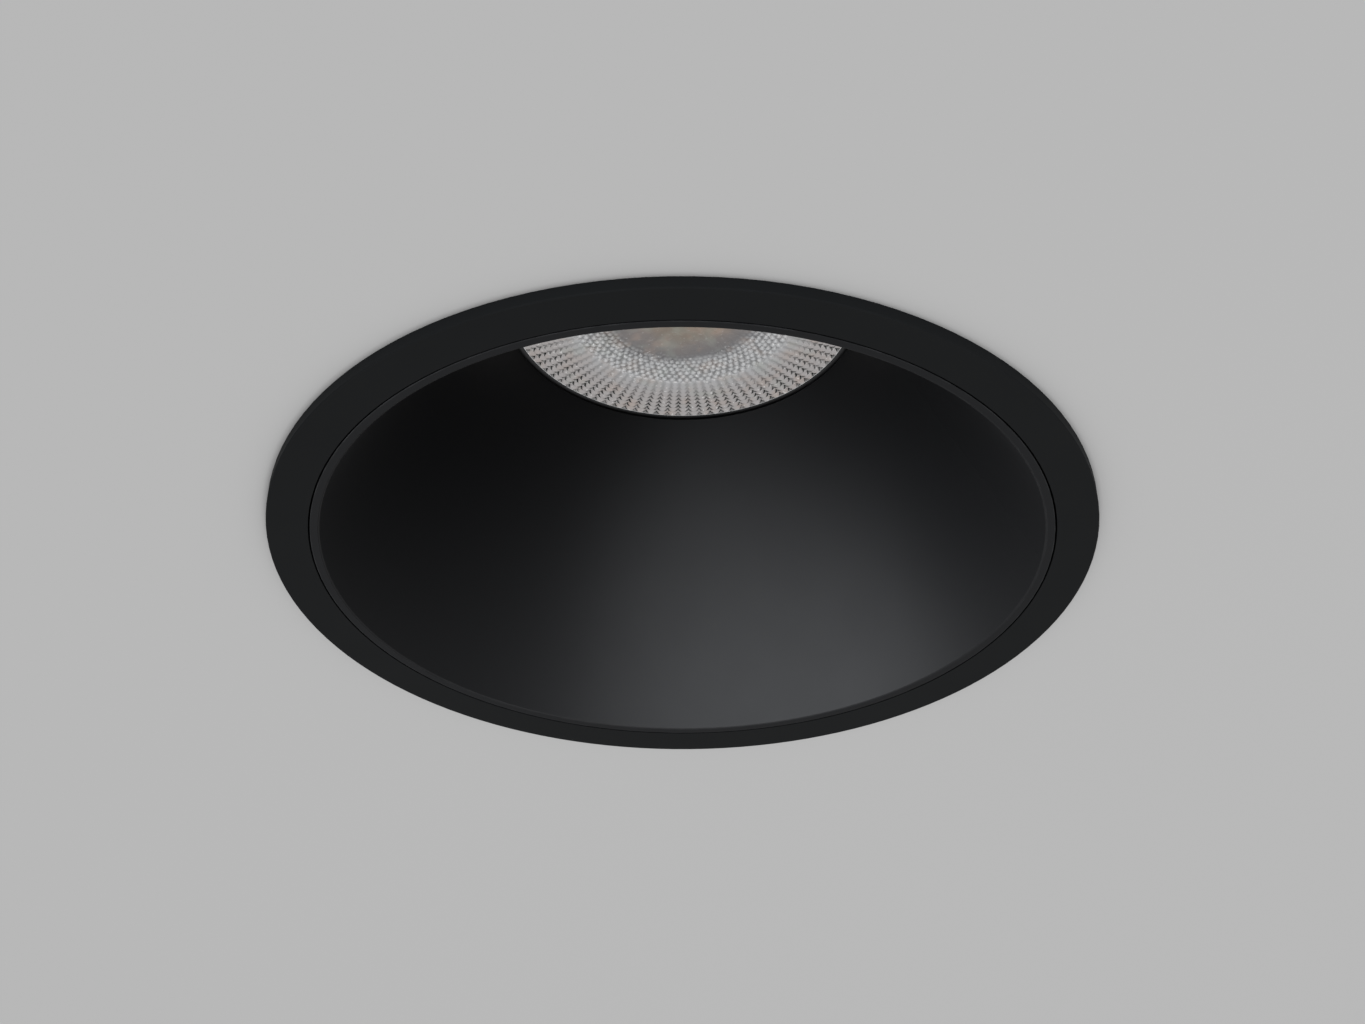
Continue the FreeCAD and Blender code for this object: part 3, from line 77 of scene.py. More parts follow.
def makeCamera():
    below = math.radians(cameraView["below"])
    distance = cameraView["distance"]
    data = bpy.data.cameras.new("camera")
    data.lens = cameraView["lens"]
    data.clip_start = cameraView["clipStart"]
    camera = putInScene("camera", data)
    camera.location = (0, -distance * math.cos(below), -distance * math.sin(below))
    camera.rotation_euler = (math.radians(90 + cameraView["below"] + cameraView["tiltUp"]), 0, 0)
    bpy.context.scene.camera = camera
    bpy.context.scene.view_settings.view_transform = "Standard"


makeCamera()
print("camera placed")


# small helpers for node trees: an input takes a socket, which is linked, or a value, which is set
def plug(tree, socket, value):
    if isinstance(value, bpy.types.NodeSocket):
        tree.links.new(value, socket)
    elif socket.type == "RGBA":
        socket.default_value = (*value, 1)
    else:
        socket.default_value = value


def addNode(tree, kind, inputs=None, **settings):
    node = tree.nodes.new(kind)
    for name, value in settings.items():
        setattr(node, name, value)
    for name, value in (inputs or {}).items():
        plug(tree, node.inputs[name], value)
    return node


def mixColor(tree, factor, first, second):
    return addNode(tree, "ShaderNodeMix", {0: factor, 6: first, 7: second}, data_type="RGBA").outputs[2]


def mathNode(tree, operation, *operands, clamp=False):
    inputs = dict(enumerate(operands))
    return addNode(tree, "ShaderNodeMath", inputs, operation=operation, use_clamp=clamp).outputs[0]


def product(tree, first, *others):
    for other in others:
        first = mathNode(tree, "MULTIPLY", first, other)
    return first


def mapRange(tree, value, low, high, toLow=0.0, toHigh=1.0, smooth=False):
    inputs = dict(enumerate((value, low, high, toLow, toHigh)))
    kind = "SMOOTHSTEP" if smooth else "LINEAR"
    return addNode(tree, "ShaderNodeMapRange", inputs, interpolation_type=kind).outputs[0]


def objectPlace(tree):
    return addNode(tree, "ShaderNodeTexCoord").outputs["Object"]


def noiseAt(tree, place, scale, detail, rough=0.5):
    inputs = {"Vector": place, "Scale": scale, "Detail": detail, "Roughness": rough}
    return addNode(tree, "ShaderNodeTexNoise", inputs).outputs["Fac"]


def separate(tree, vector):
    return addNode(tree, "ShaderNodeSeparateXYZ", {0: vector}).outputs


def axisDistance(tree, split):
    flat = addNode(tree, "ShaderNodeCombineXYZ", {"X": split["X"], "Y": split["Y"]}).outputs[0]
    return addNode(tree, "ShaderNodeVectorMath", {0: flat}, operation="LENGTH").outputs["Value"]


def newGroup(name, inputs, outputs):
    group = bpy.data.node_groups.new(name, "ShaderNodeTree")
    for label, value in inputs.items():
        kind = "NodeSocketVector" if isinstance(value, tuple) else "NodeSocketFloat"
        group.interface.new_socket(label, in_out="INPUT", socket_type=kind).default_value = value
    for label in outputs:
        group.interface.new_socket(label, in_out="OUTPUT", socket_type="NodeSocketFloat")
    given = group.nodes.new("NodeGroupInput")
    result = group.nodes.new("NodeGroupOutput")
    return group, given.outputs, result.inputs


def useGroup(tree, group, **inputs):
    return addNode(tree, "ShaderNodeGroup", inputs, node_tree=group).outputs


# shared effects: each group gives masks or heights that vary over the surface
effects = {
    "grainDetail": 4.0,
    "patchDetail": 2.0,
    "wearTurn": (0.02, 0.20),  # how far the rounded normal has turned where wear starts and is full
    "wearDetail": 5.0,
    "wearBreaks": (0.38, 0.62, 0.15, 1.0),  # noise from and to, and the wear that is left at each
    "brushDetail": 3.0,
    "ringWaver": (60.0, 2.0),  # scale and detail of the noise
    "dustFacing": (0.3, 1.0),  # upward part of the normal where dust starts to lie and lies full
    "dustSpeckle": (0.35, 0.75),
    "dustDetail": 6.0,
}


def makeGrainGroup():
    inputs = {"Scale": 900.0, "Roughness": 0.6, "Patch Scale": 40.0}
    group, given, result = newGroup("surfaceGrain", inputs, ["Height", "Patches"])
    place = objectPlace(group)
    fine = noiseAt(group, place, given["Scale"], effects["grainDetail"], given["Roughness"])
    broad = noiseAt(group, place, given["Patch Scale"], effects["patchDetail"], given["Roughness"])
    plug(group, result["Height"], fine)
    plug(group, result["Patches"], broad)
    return group


def makeWearGroup():
    # worn where the surface turns sharply: the rounded normal leaves the true one
    inputs = {"Width": 0.25 * mm, "Break Scale": 420.0}
    group, given, result = newGroup("edgeWear", inputs, ["Mask"])
    normal = addNode(group, "ShaderNodeNewGeometry").outputs["Normal"]
    rounded = addNode(group, "ShaderNodeBevel", {"Radius": given["Width"]}, samples=4).outputs[0]
    alike = addNode(group, "ShaderNodeVectorMath", {0: normal, 1: rounded}, operation="DOT_PRODUCT")
    turned = mathNode(group, "SUBTRACT", 1.0, alike.outputs["Value"])
    noise = noiseAt(group, objectPlace(group), given["Break Scale"], effects["wearDetail"])
    worn = mapRange(group, turned, *effects["wearTurn"], smooth=True)
    broken = mapRange(group, noise, *effects["wearBreaks"])
    plug(group, result["Mask"], product(group, worn, broken))
    return group


def makeBrushGroup():
    inputs = {"Stretch": (1.0, 1.0, 12.0), "Scale": 500.0}
    group, given, result = newGroup("brushedLines", inputs, ["Lines"])
    stretched = addNode(group, "ShaderNodeMapping", {"Vector": objectPlace(group), "Scale": given["Stretch"]})
    lines = noiseAt(group, stretched.outputs[0], given["Scale"], effects["brushDetail"])
    plug(group, result["Lines"], lines)
    return group


def makeTurnedGroup():
    inputs = {"Pitch": 9000.0, "Waver": 0.3}
    group, given, result = newGroup("turnedRings", inputs, ["Rings"])
    place = objectPlace(group)
    phase = product(group, axisDistance(group, separate(group, place)), given["Pitch"])
    noise = noiseAt(group, place, *effects["ringWaver"])
    shifted = mathNode(group, "MULTIPLY_ADD", noise, given["Waver"], phase)
    plug(group, result["Rings"], mapRange(group, mathNode(group, "SINE", shifted), -1.0, 1.0))
    return group


def makeDustGroup():
    inputs = {"Amount": 0.3, "Scale": 380.0}
    group, given, result = newGroup("settledDust", inputs, ["Mask"])
    upward = separate(group, addNode(group, "ShaderNodeNewGeometry").outputs["Normal"])["Z"]
    noise = noiseAt(group, objectPlace(group), given["Scale"], effects["dustDetail"])
    facing = mapRange(group, upward, *effects["dustFacing"])
    speckle = mapRange(group, noise, *effects["dustSpeckle"])
    plug(group, result["Mask"], product(group, facing, speckle, given["Amount"]))
    return group


grainGroup = makeGrainGroup()
wearGroup = makeWearGroup()
brushGroup = makeBrushGroup()
turnedGroup = makeTurnedGroup()
dustGroup = makeDustGroup()
print("shared effects built")


# finishes: one entry for each slot of the record but the lens's, with bumpDepth and edge in mm
finishes = {
    "frame_paint": {
        "color": (0.0071, 0.0077, 0.0082), "shade": (0.0067, 0.0073, 0.0078), "rough": 0.6, "spread": 0.012,
        "specular": 0.06, "grain": 2600.0, "bump": 0.05, "bumpDepth": 0.02,
        "wearColor": (0.03, 0.031, 0.032), "wear": 0.12, "edge": 0.06,
    },
    "cone_paint": {
        "color": (0.0019, 0.0020, 0.0024), "shade": (0.0016, 0.0017, 0.0021), "rough": 0.52, "spread": 0.01,
        "specular": 0.22, "lipRough": 0.95, "grain": 1500.0, "bump": 0.02, "bumpDepth": 0.01,
        "wearColor": (0.05, 0.05, 0.052), "wear": 0.35, "edge": 0.05,
    },
    "gasket_foam": {
        "color": (0.035, 0.035, 0.036), "shade": (0.018, 0.018, 0.018), "rough": 0.95, "spread": 0.04,
        "specular": 0.2, "grain": 2400.0, "bump": 0.8, "bumpDepth": 0.12,
    },
    "seal_silicone": {
        "color": (0.32, 0.33, 0.34), "shade": (0.26, 0.27, 0.28), "rough": 0.55, "spread": 0.08,
        "specular": 0.4, "grain": 800.0, "bump": 0.1, "bumpDepth": 0.02,
    },
    "retainer_plastic": {
        "color": (0.030, 0.030, 0.031), "shade": (0.024, 0.024, 0.025), "rough": 0.5, "spread": 0.06,
        "specular": 0.3, "grain": 1600.0, "bump": 0.2, "bumpDepth": 0.02,
    },
    "holder_plastic": {
        "color": (0.80, 0.79, 0.76), "shade": (0.74, 0.73, 0.70), "rough": 0.4, "spread": 0.08,
        "specular": 0.5, "grain": 1200.0, "bump": 0.15, "bumpDepth": 0.02,
    },
    "board_white": {
        "color": (0.80, 0.80, 0.79), "shade": (0.74, 0.74, 0.73), "rough": 0.45, "spread": 0.05,
        "specular": 0.5, "grain": 1500.0, "bump": 0.1, "bumpDepth": 0.01,
    },
    "phosphor_yellow": {
        "color": (0.80, 0.55, 0.12), "shade": (0.72, 0.47, 0.09), "rough": 0.35, "spread": 0.1,
        "specular": 0.5, "grain": 3000.0, "bump": 0.2, "bumpDepth": 0.02,
    },
    "pad_grey": {
        "color": (0.42, 0.42, 0.44), "shade": (0.36, 0.36, 0.38), "rough": 0.8, "spread": 0.08,
        "specular": 0.3, "grain": 1800.0, "bump": 0.3, "bumpDepth": 0.02,
    },
    "heat_sink_metal": {
        "color": (0.035, 0.036, 0.038), "shade": (0.032, 0.033, 0.035), "rough": 0.48, "spread": 0.03,
        "metallic": 0.45, "specular": 0.5, "grain": 1300.0, "patch": 420.0, "bump": 0.7, "bumpDepth": 0.06,
        "wearColor": (0.24, 0.245, 0.25), "wear": 0.30, "dust": 0.06, "edge": 0.35,
    },
    "cover_metal": {
        "color": (0.040, 0.041, 0.043), "shade": (0.037, 0.038, 0.040), "rough": 0.38, "spread": 0.03,
        "metallic": 0.55, "specular": 0.5, "grain": 1500.0, "patch": 420.0, "bump": 0.35, "bumpDepth": 0.03,
        "rings": True, "wearColor": (0.26, 0.265, 0.27), "wear": 0.35, "dust": 0.05, "edge": 0.35,
    },
    "screw_steel": {
        "color": (0.56, 0.55, 0.53), "shade": (0.44, 0.43, 0.41), "rough": 0.28, "spread": 0.14,
        "metallic": 1.0, "grain": 2200.0, "bump": 0.15, "bumpDepth": 0.02,
        "brush": (1.0, 1.0, 6.0), "edge": 0.10,
    },
    "spring_steel": {
        "color": (0.58, 0.57, 0.54), "shade": (0.48, 0.47, 0.44), "rough": 0.32, "spread": 0.08,
        "metallic": 1.0, "grain": 1800.0, "bump": 0.06, "bumpDepth": 0.01, "brush": (1.0, 1.0, 14.0),
    },
    "bracket_steel": {
        "color": (0.52, 0.53, 0.54), "shade": (0.38, 0.39, 0.41), "rough": 0.36, "spread": 0.14,
        "metallic": 1.0, "grain": 700.0, "bump": 0.2, "bumpDepth": 0.02,
        "brush": (1.0, 1.0, 9.0), "edge": 0.12,
    },
    "sleeve_rubber": {
        "color": (0.016, 0.016, 0.016), "shade": (0.010, 0.010, 0.010), "rough": 0.72, "spread": 0.1,
        "specular": 0.35, "grain": 1800.0, "bump": 0.4, "bumpDepth": 0.03, "dust": 0.06,
    },
    "lead_red": {
        "color": (0.42, 0.02, 0.015), "shade": (0.34, 0.015, 0.012), "rough": 0.35, "spread": 0.05,
        "specular": 0.5, "grain": 900.0, "bump": 0.1, "bumpDepth": 0.02,
    },
    "lead_black": {
        "color": (0.012, 0.012, 0.012), "shade": (0.008, 0.008, 0.008), "rough": 0.35, "spread": 0.05,
        "specular": 0.5, "grain": 900.0, "bump": 0.1, "bumpDepth": 0.02,
    },
    "grommet_rubber": {
        "color": (0.014, 0.014, 0.014), "shade": (0.010, 0.010, 0.010), "rough": 0.7, "spread": 0.08,
        "specular": 0.35, "grain": 1500.0, "bump": 0.3, "bumpDepth": 0.02,
    },
    "terminal_plastic": {
        "color": (0.62, 0.62, 0.59), "shade": (0.55, 0.55, 0.52), "rough": 0.42, "spread": 0.06,
        "specular": 0.5, "grain": 1200.0, "bump": 0.15, "bumpDepth": 0.02,
    },
    "terminal_brass": {
        "color": (0.66, 0.48, 0.19), "shade": (0.50, 0.35, 0.13), "rough": 0.3, "spread": 0.12,
        "metallic": 1.0, "grain": 1500.0, "bump": 0.1, "bumpDepth": 0.02, "brush": (8.0, 1.0, 1.0),
    },
    "gland_plastic": {
        "color": (0.020, 0.020, 0.021), "shade": (0.014, 0.014, 0.015), "rough": 0.48, "spread": 0.1,
        "specular": 0.45, "grain": 1700.0, "bump": 0.35, "bumpDepth": 0.03,
        "wearColor": (0.07, 0.07, 0.072), "wear": 0.4, "dust": 0.10, "edge": 0.30,
    },
    "gland_rubber": {
        "color": (0.012, 0.012, 0.012), "shade": (0.008, 0.008, 0.008), "rough": 0.75, "spread": 0.08,
        "specular": 0.3, "grain": 1500.0, "bump": 0.3, "bumpDepth": 0.02,
    },
}

# how the entries above are put together
finishRules = {
    "patchScale": 90.0,  # where a finish gives none
    "colorRange": (0.3, 0.7),  # patch noise over which the colour goes over into its shade
    "shineRange": (0.25, 0.75),  # noise over which the roughness goes from its least to its most
    "grainUnderBrush": 0.3,
    "grainUnderRings": 0.4,
    "brushInShine": 0.6,  # the patches have the rest
    "dustColor": (0.20, 0.19, 0.18),
    "dustRough": 0.5,
    "lipRange": (-1.60 * mm, -1.67 * mm),  # heights over which the cone's wall goes over into its lip
    "edgeSamples": 6,
}


def newMaterial(name):
    material = bpy.data.materials.new(name)
    material.use_nodes = True
    tree = material.node_tree
    tree.nodes.clear()
    output = addNode(tree, "ShaderNodeOutputMaterial")
    return material, tree, output.inputs["Surface"]


def makeFinish(name, look):
    material, tree, surface = newMaterial(name)
    scales = {"Scale": look["grain"], "Patch Scale": look.get("patch", finishRules["patchScale"])}
    grain = useGroup(tree, grainGroup, **scales)
    patches, height = grain["Patches"], grain["Height"]
    shine = patches
    color = mixColor(tree, mapRange(tree, patches, *finishRules["colorRange"]), look["color"], look["shade"])
    if "brush" in look:
        lines = useGroup(tree, brushGroup, Stretch=look["brush"], Scale=look["grain"] / 2)["Lines"]
        height = mathNode(tree, "MULTIPLY_ADD", height, finishRules["grainUnderBrush"], lines)
        rest = product(tree, patches, 1 - finishRules["brushInShine"])
        shine = mathNode(tree, "MULTIPLY_ADD", lines, finishRules["brushInShine"], rest)
    if look.get("rings"):
        rings = useGroup(tree, turnedGroup)["Rings"]
        height = mathNode(tree, "MULTIPLY_ADD", height, finishRules["grainUnderRings"], rings)
    least, most = look["rough"] - look["spread"], look["rough"] + look["spread"]
    rough = mapRange(tree, shine, *finishRules["shineRange"], least, most)
    if "wear" in look:
        wear = product(tree, useGroup(tree, wearGroup)["Mask"], look["wear"])
        color = mixColor(tree, wear, color, look["wearColor"])
    if "dust" in look:
        dust = useGroup(tree, dustGroup, Amount=look["dust"])["Mask"]
        color = mixColor(tree, dust, color, finishRules["dustColor"])
        rough = mathNode(tree, "MULTIPLY_ADD", dust, finishRules["dustRough"], rough, clamp=True)
    if "lipRough" in look:  # the flat rim at the mouth is duller than the cone's inside
        lip = mapRange(tree, separate(tree, objectPlace(tree))["Z"], *finishRules["lipRange"])
        rough = mathNode(tree, "MULTIPLY_ADD", lip, look["lipRough"] - look["rough"], rough)
    relief = {"Strength": look["bump"], "Distance": look["bumpDepth"] * mm, "Height": height}
    if "edge" in look:  # edges catch the light as rounded ones do
        samples = finishRules["edgeSamples"]
        edge = addNode(tree, "ShaderNodeBevel", {"Radius": look["edge"] * mm}, samples=samples)
        relief["Normal"] = edge.outputs[0]
    shader = addNode(tree, "ShaderNodeBsdfPrincipled", {
        "Base Color": color,
        "Roughness": rough,
        "Metallic": look.get("metallic", 0.0),
        "Specular IOR Level": look.get("specular", 0.5),
        "Normal": addNode(tree, "ShaderNodeBump", relief).outputs[0],
    })
    plug(tree, surface, shader.outputs[0])
    return material


materials = {name: makeFinish(name, look) for name, look in finishes.items()}
print("finishes built:", len(materials))


# helpers for meshes
def circle(radius, height, count, turn=0.0):
    angles = [2 * math.pi * step / count + turn for step in range(count)]
    return [(radius * math.cos(angle), radius * math.sin(angle), height) for angle in angles]


def addRing(mesh, spots):
    return [mesh.verts.new(spot) for spot in spots]


def joinRings(mesh, first, second):
    for index in range(len(first)):
        after = (index + 1) % len(first)
        mesh.faces.new((first[index], first[after], second[after], second[index]))


def closeRing(mesh, ring, spot):
    middle = mesh.verts.new(spot)
    for index in range(len(ring)):
        mesh.faces.new((middle, ring[(index + 1) % len(ring)], ring[index]))


def roundedBox(left, right, low, high, corner, steps=4):
    centres = [
        (right - corner, high - corner),
        (left + corner, high - corner),
        (left + corner, low + corner),
        (right - corner, low + corner),
    ]
    outline = []
    for quarter, (across, up) in enumerate(centres):
        for step in range(steps + 1):
            angle = math.pi / 2 * (quarter + step / steps)
            outline.append((across + corner * math.cos(angle), up + corner * math.sin(angle)))
    return outline


def dressMesh(name, data, slot, sharp):
    # sharp: edges that turn by more degrees than this stay sharp
    data.shade_smooth()
    data.set_sharp_from_angle(angle=math.radians(sharp))
    data.materials.clear()
    data.materials.append(materials[slot])
    return putInScene(name, data)


def finishMesh(name, mesh, body, slot, replaced, sharp):
    bmesh.ops.recalc_face_normals(mesh, faces=mesh.faces)
    data = bpy.data.meshes.new(name)
    mesh.to_mesh(data)
    mesh.free()
    piece = dressMesh(name, data, slot, sharp)
    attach(piece, body)
    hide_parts(replaced)


# lens: a collimator whose face is pressed with scales at the rim and beads nearer the middle
lens = {
    "columns": 92,
    "stepsPerColumn": 8,
    "turn": 1.65,  # degrees, where the first column starts
    "faceRadius": 25.45 * mm,
    "patternRadius": 25.36 * mm,
    "patternEnd": 0.02 * mm,  # width of the step from the pattern up to the plain rim
    "faceEdge": 0.03 * mm,  # bevel at the edge of the face
    "scaleZone": 17.0 * mm,
    "scaleBlend": (-0.3 * mm, 0.3 * mm),  # either side of the zone's edge
    "beadZone": 12.3 * mm,
    "beadBlend": 3.4 * mm,
    "blurZone": 10.0 * mm,
    "rowPitch": 0.95 * mm,
    "rowEnd": 25.42 * mm,  # outer end of the last row of scales
    "rowRound": 0.80,  # how far the ends of the scales are rounded, in rows
    "radialStep": 0.16 * mm,
    "scaleTilt": 0.10 * mm,
    "scaleCrown": 0.07 * mm,
    "pitDepth": 0.20 * mm,
    "pitSlopes": (0.25, 0.12),  # inner and outer slope of a pit, in rows
    "beadPitch": 0.86 * mm,
    "beadDepth": 0.20 * mm,
    "beadShift": 0.16,
    "beadReach": 0.58,  # in pitches
    # painted highlight on the beads' tops: each bead's strength is drawn from this range
    "beadHighlight": (0.55, 1.0),
    "beadGapShade": 0.44,  # how much painted shade darkens the gap between beads
    "streakDepth": 0.02 * mm,
    "streakTurn": 2.4,  # radians from one column's streak to the next
    "centerRows": 14,
    "seed": 7,
    "retainerLip": 0.8 * mm,
    "rimThick": 1.5 * mm,
    "shoulder": 2.8 * mm,
    "sideBulge": 1.35 * mm,
    "sideSteps": 12,
    "backRadius": 10.0 * mm,
    "cupRadius": 6.8 * mm,
    "domeRadius": 5.8 * mm,
    "cupDepth": 7.6 * mm,
    "domeRise": 1.4 * mm,
    "domeAngles": (22, 45, 68),
    "sharp": 40,
}


def smoothStep(value):
    value = min(1.0, max(0.0, value))
    return value * value * (3 - 2 * value)


def scaleRelief(radius, phase):
    across = abs(2 * phase - 1)  # 0 in the middle of a column, 1 where it meets the next
    outward = smoothStep((radius - lens["scaleZone"]) / (lens["patternRadius"] - lens["scaleZone"]))
    row = 1 - ((lens["rowEnd"] - radius) / lens["rowPitch"]) % 1.0  # 1 at the outer end of a row
    past = row - (1 - lens["rowRound"] * across**2)
    innerSlope, outerSlope = lens["pitSlopes"]
    pit = smoothStep(past / innerSlope) * smoothStep((1 - row) / outerSlope)
    tilt = lens["scaleTilt"] * (1 - row) * outward
    return lens["scaleCrown"] * across**3 + tilt + lens["pitDepth"] * outward * pit


def beadPlaces():
    # the beads sit in staggered rows, up to one past each end of their zone, each a little out of place and with
    # its own strength of painted highlight
    dice = random.Random(lens["seed"])
    low = int((lens["blurZone"] - lens["beadZone"]) / lens["beadPitch"]) - 1
    high = int((lens["scaleZone"] - lens["beadZone"]) / lens["beadPitch"]) + 2
    shift = lens["beadShift"]
    return {
        (row, column): (
            dice.uniform(-shift, shift),
            dice.uniform(-shift, shift),
            dice.uniform(*lens["beadHighlight"]),
        )
        for row in range(low, high)
        for column in range(lens["columns"] + 1)
    }


def beadRelief(radius, column, phase, places):
    pitch = lens["beadPitch"]
    row = round((radius - lens["beadZone"]) / pitch)
    spot = column + phase + 0.5 * (row % 2)
    nearest = math.floor(spot) % lens["columns"]
    acrossShift, outShift, shine = places.get((row, nearest), (0.0, 0.0, 1.0))
    across = (spot % 1.0 - 0.5) * 2 * math.pi * radius / lens["columns"] + acrossShift * pitch
    outward = radius - lens["beadZone"] - (row + outShift) * pitch
    reach = math.hypot(across, outward) / (lens["beadReach"] * pitch)
    return math.sqrt(1 - reach * reach) if reach < 1 else 0.0, shine


def lensDepth(radius, column, phase, places):
    # depth of the face, how much painted shade darkens a gap between beads and how much painted highlight a bead's
    # top gets
    if radius > lens["patternRadius"]:
        return 0.0, 0.0, 0.0
    start, end = lens["scaleBlend"]
    scaleShare = smoothStep((radius - lens["scaleZone"] - start) / (end - start))
    beadShare = (1 - scaleShare) * smoothStep((radius - lens["blurZone"]) / lens["beadBlend"])
    depth = scaleShare * scaleRelief(radius, phase) if scaleShare > 0 else 0.0
    gapShade, paintedHighlight = 0.0, 0.0
    if beadShare > 0:
        dome, shine = beadRelief(radius, column, phase, places)
        depth += beadShare * lens["beadDepth"] * (1 - dome)
        gapShade = beadShare * lens["beadGapShade"] * (1 - dome)
        paintedHighlight = beadShare * shine * dome**4
    streak = (1 - scaleShare) * (1 - beadShare) * lens["streakDepth"]
    depth += streak * (1 + math.sin(column * lens["streakTurn"])) / 2
    return depth, gapShade, paintedHighlight


def faceRadii():
    blur, pattern = lens["blurZone"], lens["patternRadius"]
    inner, outer = lens["centerRows"], round((pattern - blur) / lens["radialStep"])
    radii = [blur * (row + 1) / inner for row in range(inner)]
    radii += [blur + (pattern - blur) * (row + 1) / outer for row in range(outer)]
    return radii + [pattern + lens["patternEnd"], lens["faceRadius"] - lens["faceEdge"]]


def sideProfile(rimRadius, rimLow, top):
    # rim, shoulder, curved side, back and the cup over the light source
    rimHigh = rimLow + lens["rimThick"]
    shoulder = rimRadius - lens["shoulder"]
    profile = [(lens["faceRadius"], rimLow), (rimRadius, rimLow), (rimRadius, rimHigh), (shoulder, rimHigh)]
    for index in range(1, lens["sideSteps"]):
        share = index / lens["sideSteps"]
        bulge = lens["sideBulge"] * math.sin(math.pi * share)
        radius = shoulder * (1 - share) + lens["backRadius"] * share + bulge
        profile.append((radius, rimHigh + (top - rimHigh) * share))
    domeLow = top - lens["cupDepth"]
    profile += [(lens["backRadius"], top), (lens["cupRadius"], top), (lens["domeRadius"], domeLow)]
    for angle in map(math.radians, lens["domeAngles"]):
        profile.append((lens["domeRadius"] * math.cos(angle), domeLow + lens["domeRise"] * math.sin(angle)))
    return profile


def makeLens():
    low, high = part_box("optic_lens")
    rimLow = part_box("lens_retainer")[0].z + lens["retainerLip"]
    coarse, skip = lens["columns"], lens["stepsPerColumn"]
    fine = coarse * skip
    turn = math.radians(lens["turn"])
    places = beadPlaces()
    mesh = bmesh.new()
    # painted shade for the gaps between the beads and painted highlight for their tops, kept on the vertices
    gapShadeLayer = mesh.verts.layers.float.new("gapShade")
    paintedHighlightLayer = mesh.verts.layers.float.new("paintedHighlight")

    rings = []
    for radius in faceRadii():
        ring = addRing(mesh, circle(radius, low.z, fine, turn))
        for step, vert in enumerate(ring):
            column, phase = divmod(step / skip, 1.0)
            depth, gapShade, paintedHighlight = lensDepth(radius, int(column), phase, places)
            vert.co.z += depth
            vert[gapShadeLayer] = gapShade
            vert[paintedHighlightLayer] = paintedHighlight
        rings.append(ring)
    rings.append(addRing(mesh, circle(lens["faceRadius"], low.z + lens["faceEdge"], fine, turn)))
    closeRing(mesh, rings[0], (0, 0, low.z))
    for inner, outer in zip(rings, rings[1:]):
        joinRings(mesh, inner, outer)

    # the side is coarser than the face: one step for each column
    edge = rings[-1]
    profile = sideProfile(high.x, rimLow, high.z)
    sides = [addRing(mesh, circle(radius, height, coarse, turn)) for radius, height in profile]
    for column in range(coarse):
        outer = [edge[(column * skip + index) % fine] for index in range(skip + 1)]
        mesh.faces.new([*outer, sides[0][(column + 1) % coarse], sides[0][column]])
    for first, second in zip(sides, sides[1:]):
        joinRings(mesh, first, second)
    closeRing(mesh, sides[-1], (0, 0, high.z - lens["cupDepth"] + lens["domeRise"]))
    finishMesh("optic_lens_face", mesh, "root", "lens_acrylic", "optic_lens", lens["sharp"])


# a noise is its scale and its detail; a range is from and to, and four numbers add what these give
lensLook = {
    # colour from the middle outwards, by share of the face's radius
    "rings": [
        (0.00, (0.300, 0.250, 0.200)),
        (0.22, (0.290, 0.245, 0.205)),
        (0.34, (0.270, 0.245, 0.235)),
        (0.40, (0.240, 0.226, 0.224)),
        (0.47, (0.228, 0.224, 0.231)),
        (0.53, (0.430, 0.430, 0.440)),
        (0.68, (0.550, 0.550, 0.560)),
        (0.82, (0.520, 0.492, 0.487)),
        (0.99, (0.510, 0.486, 0.482)),
    ],
    "ringNoise": (110.0, 3.0),
    "ringUneven": 0.34,
    # tints: the noise, its range and the colour
    "tints": [
        ((330.0, 2.0), (0.50, 0.75, 0.0, 0.42), (0.56, 0.42, 0.34)),
        ((270.0, 2.0), (0.54, 0.80, 0.0, 0.40), (0.44, 0.50, 0.44)),
    ],
    # scales, with painted shade in the pits past their round ends and where their ribs meet
    "rowNoise": (900.0, 2.0),
    "rowJitter": 0.24,
    "roundPower": 1.6,
    "line": (0.0, 0.10),
    "sides": (0.10, 0.42),
    "fade": (0.35, 0.8, 1.0, 0.5),
    "outward": (17.0 * mm, 23.2 * mm, 0.16, 1.0),
    # noise and range that make the painted shade in the pits uneven
    "wornNoise": (420.0, 3.0),
    "worn": (0.32, 0.50, 0.60, 1.0),
    "zoneBlend": (-0.2 * mm, 0.4 * mm),
    "patternBlend": 0.05 * mm,
    "rib": (0.3, 1.0, 0.0, 0.24),
    # colour of the painted shade in the pits, between the ribs and in the gaps between the beads
    "paintedShadeColor": (0.012, 0.014, 0.013),
    # specks, painted highlights on the tops of the beads and a painted highlight line round the pattern
    "speckNoise": (2100.0, 1.0),
    "speck": (0.66, 0.74),
    "speckShare": (0.15, 0.75),  # in the plain middle and among the beads
    "speckColor": (0.90, 0.89, 0.88),
    "paintedHighlight": 0.60,
    "highlightColor": (0.95, 0.97, 0.98),
    "rimHighlight": 0.85,
    "roughNoise": (420.0, 2.0),
    "rough": (0.3, 0.7, 0.16, 0.32),
    "grain": 1800.0,
    "bump": 0.35,
    "bumpDepth": 0.04 * mm,
    "coat": 0.3,
    "coatRough": 0.08,
    "refraction": 1.49,
}


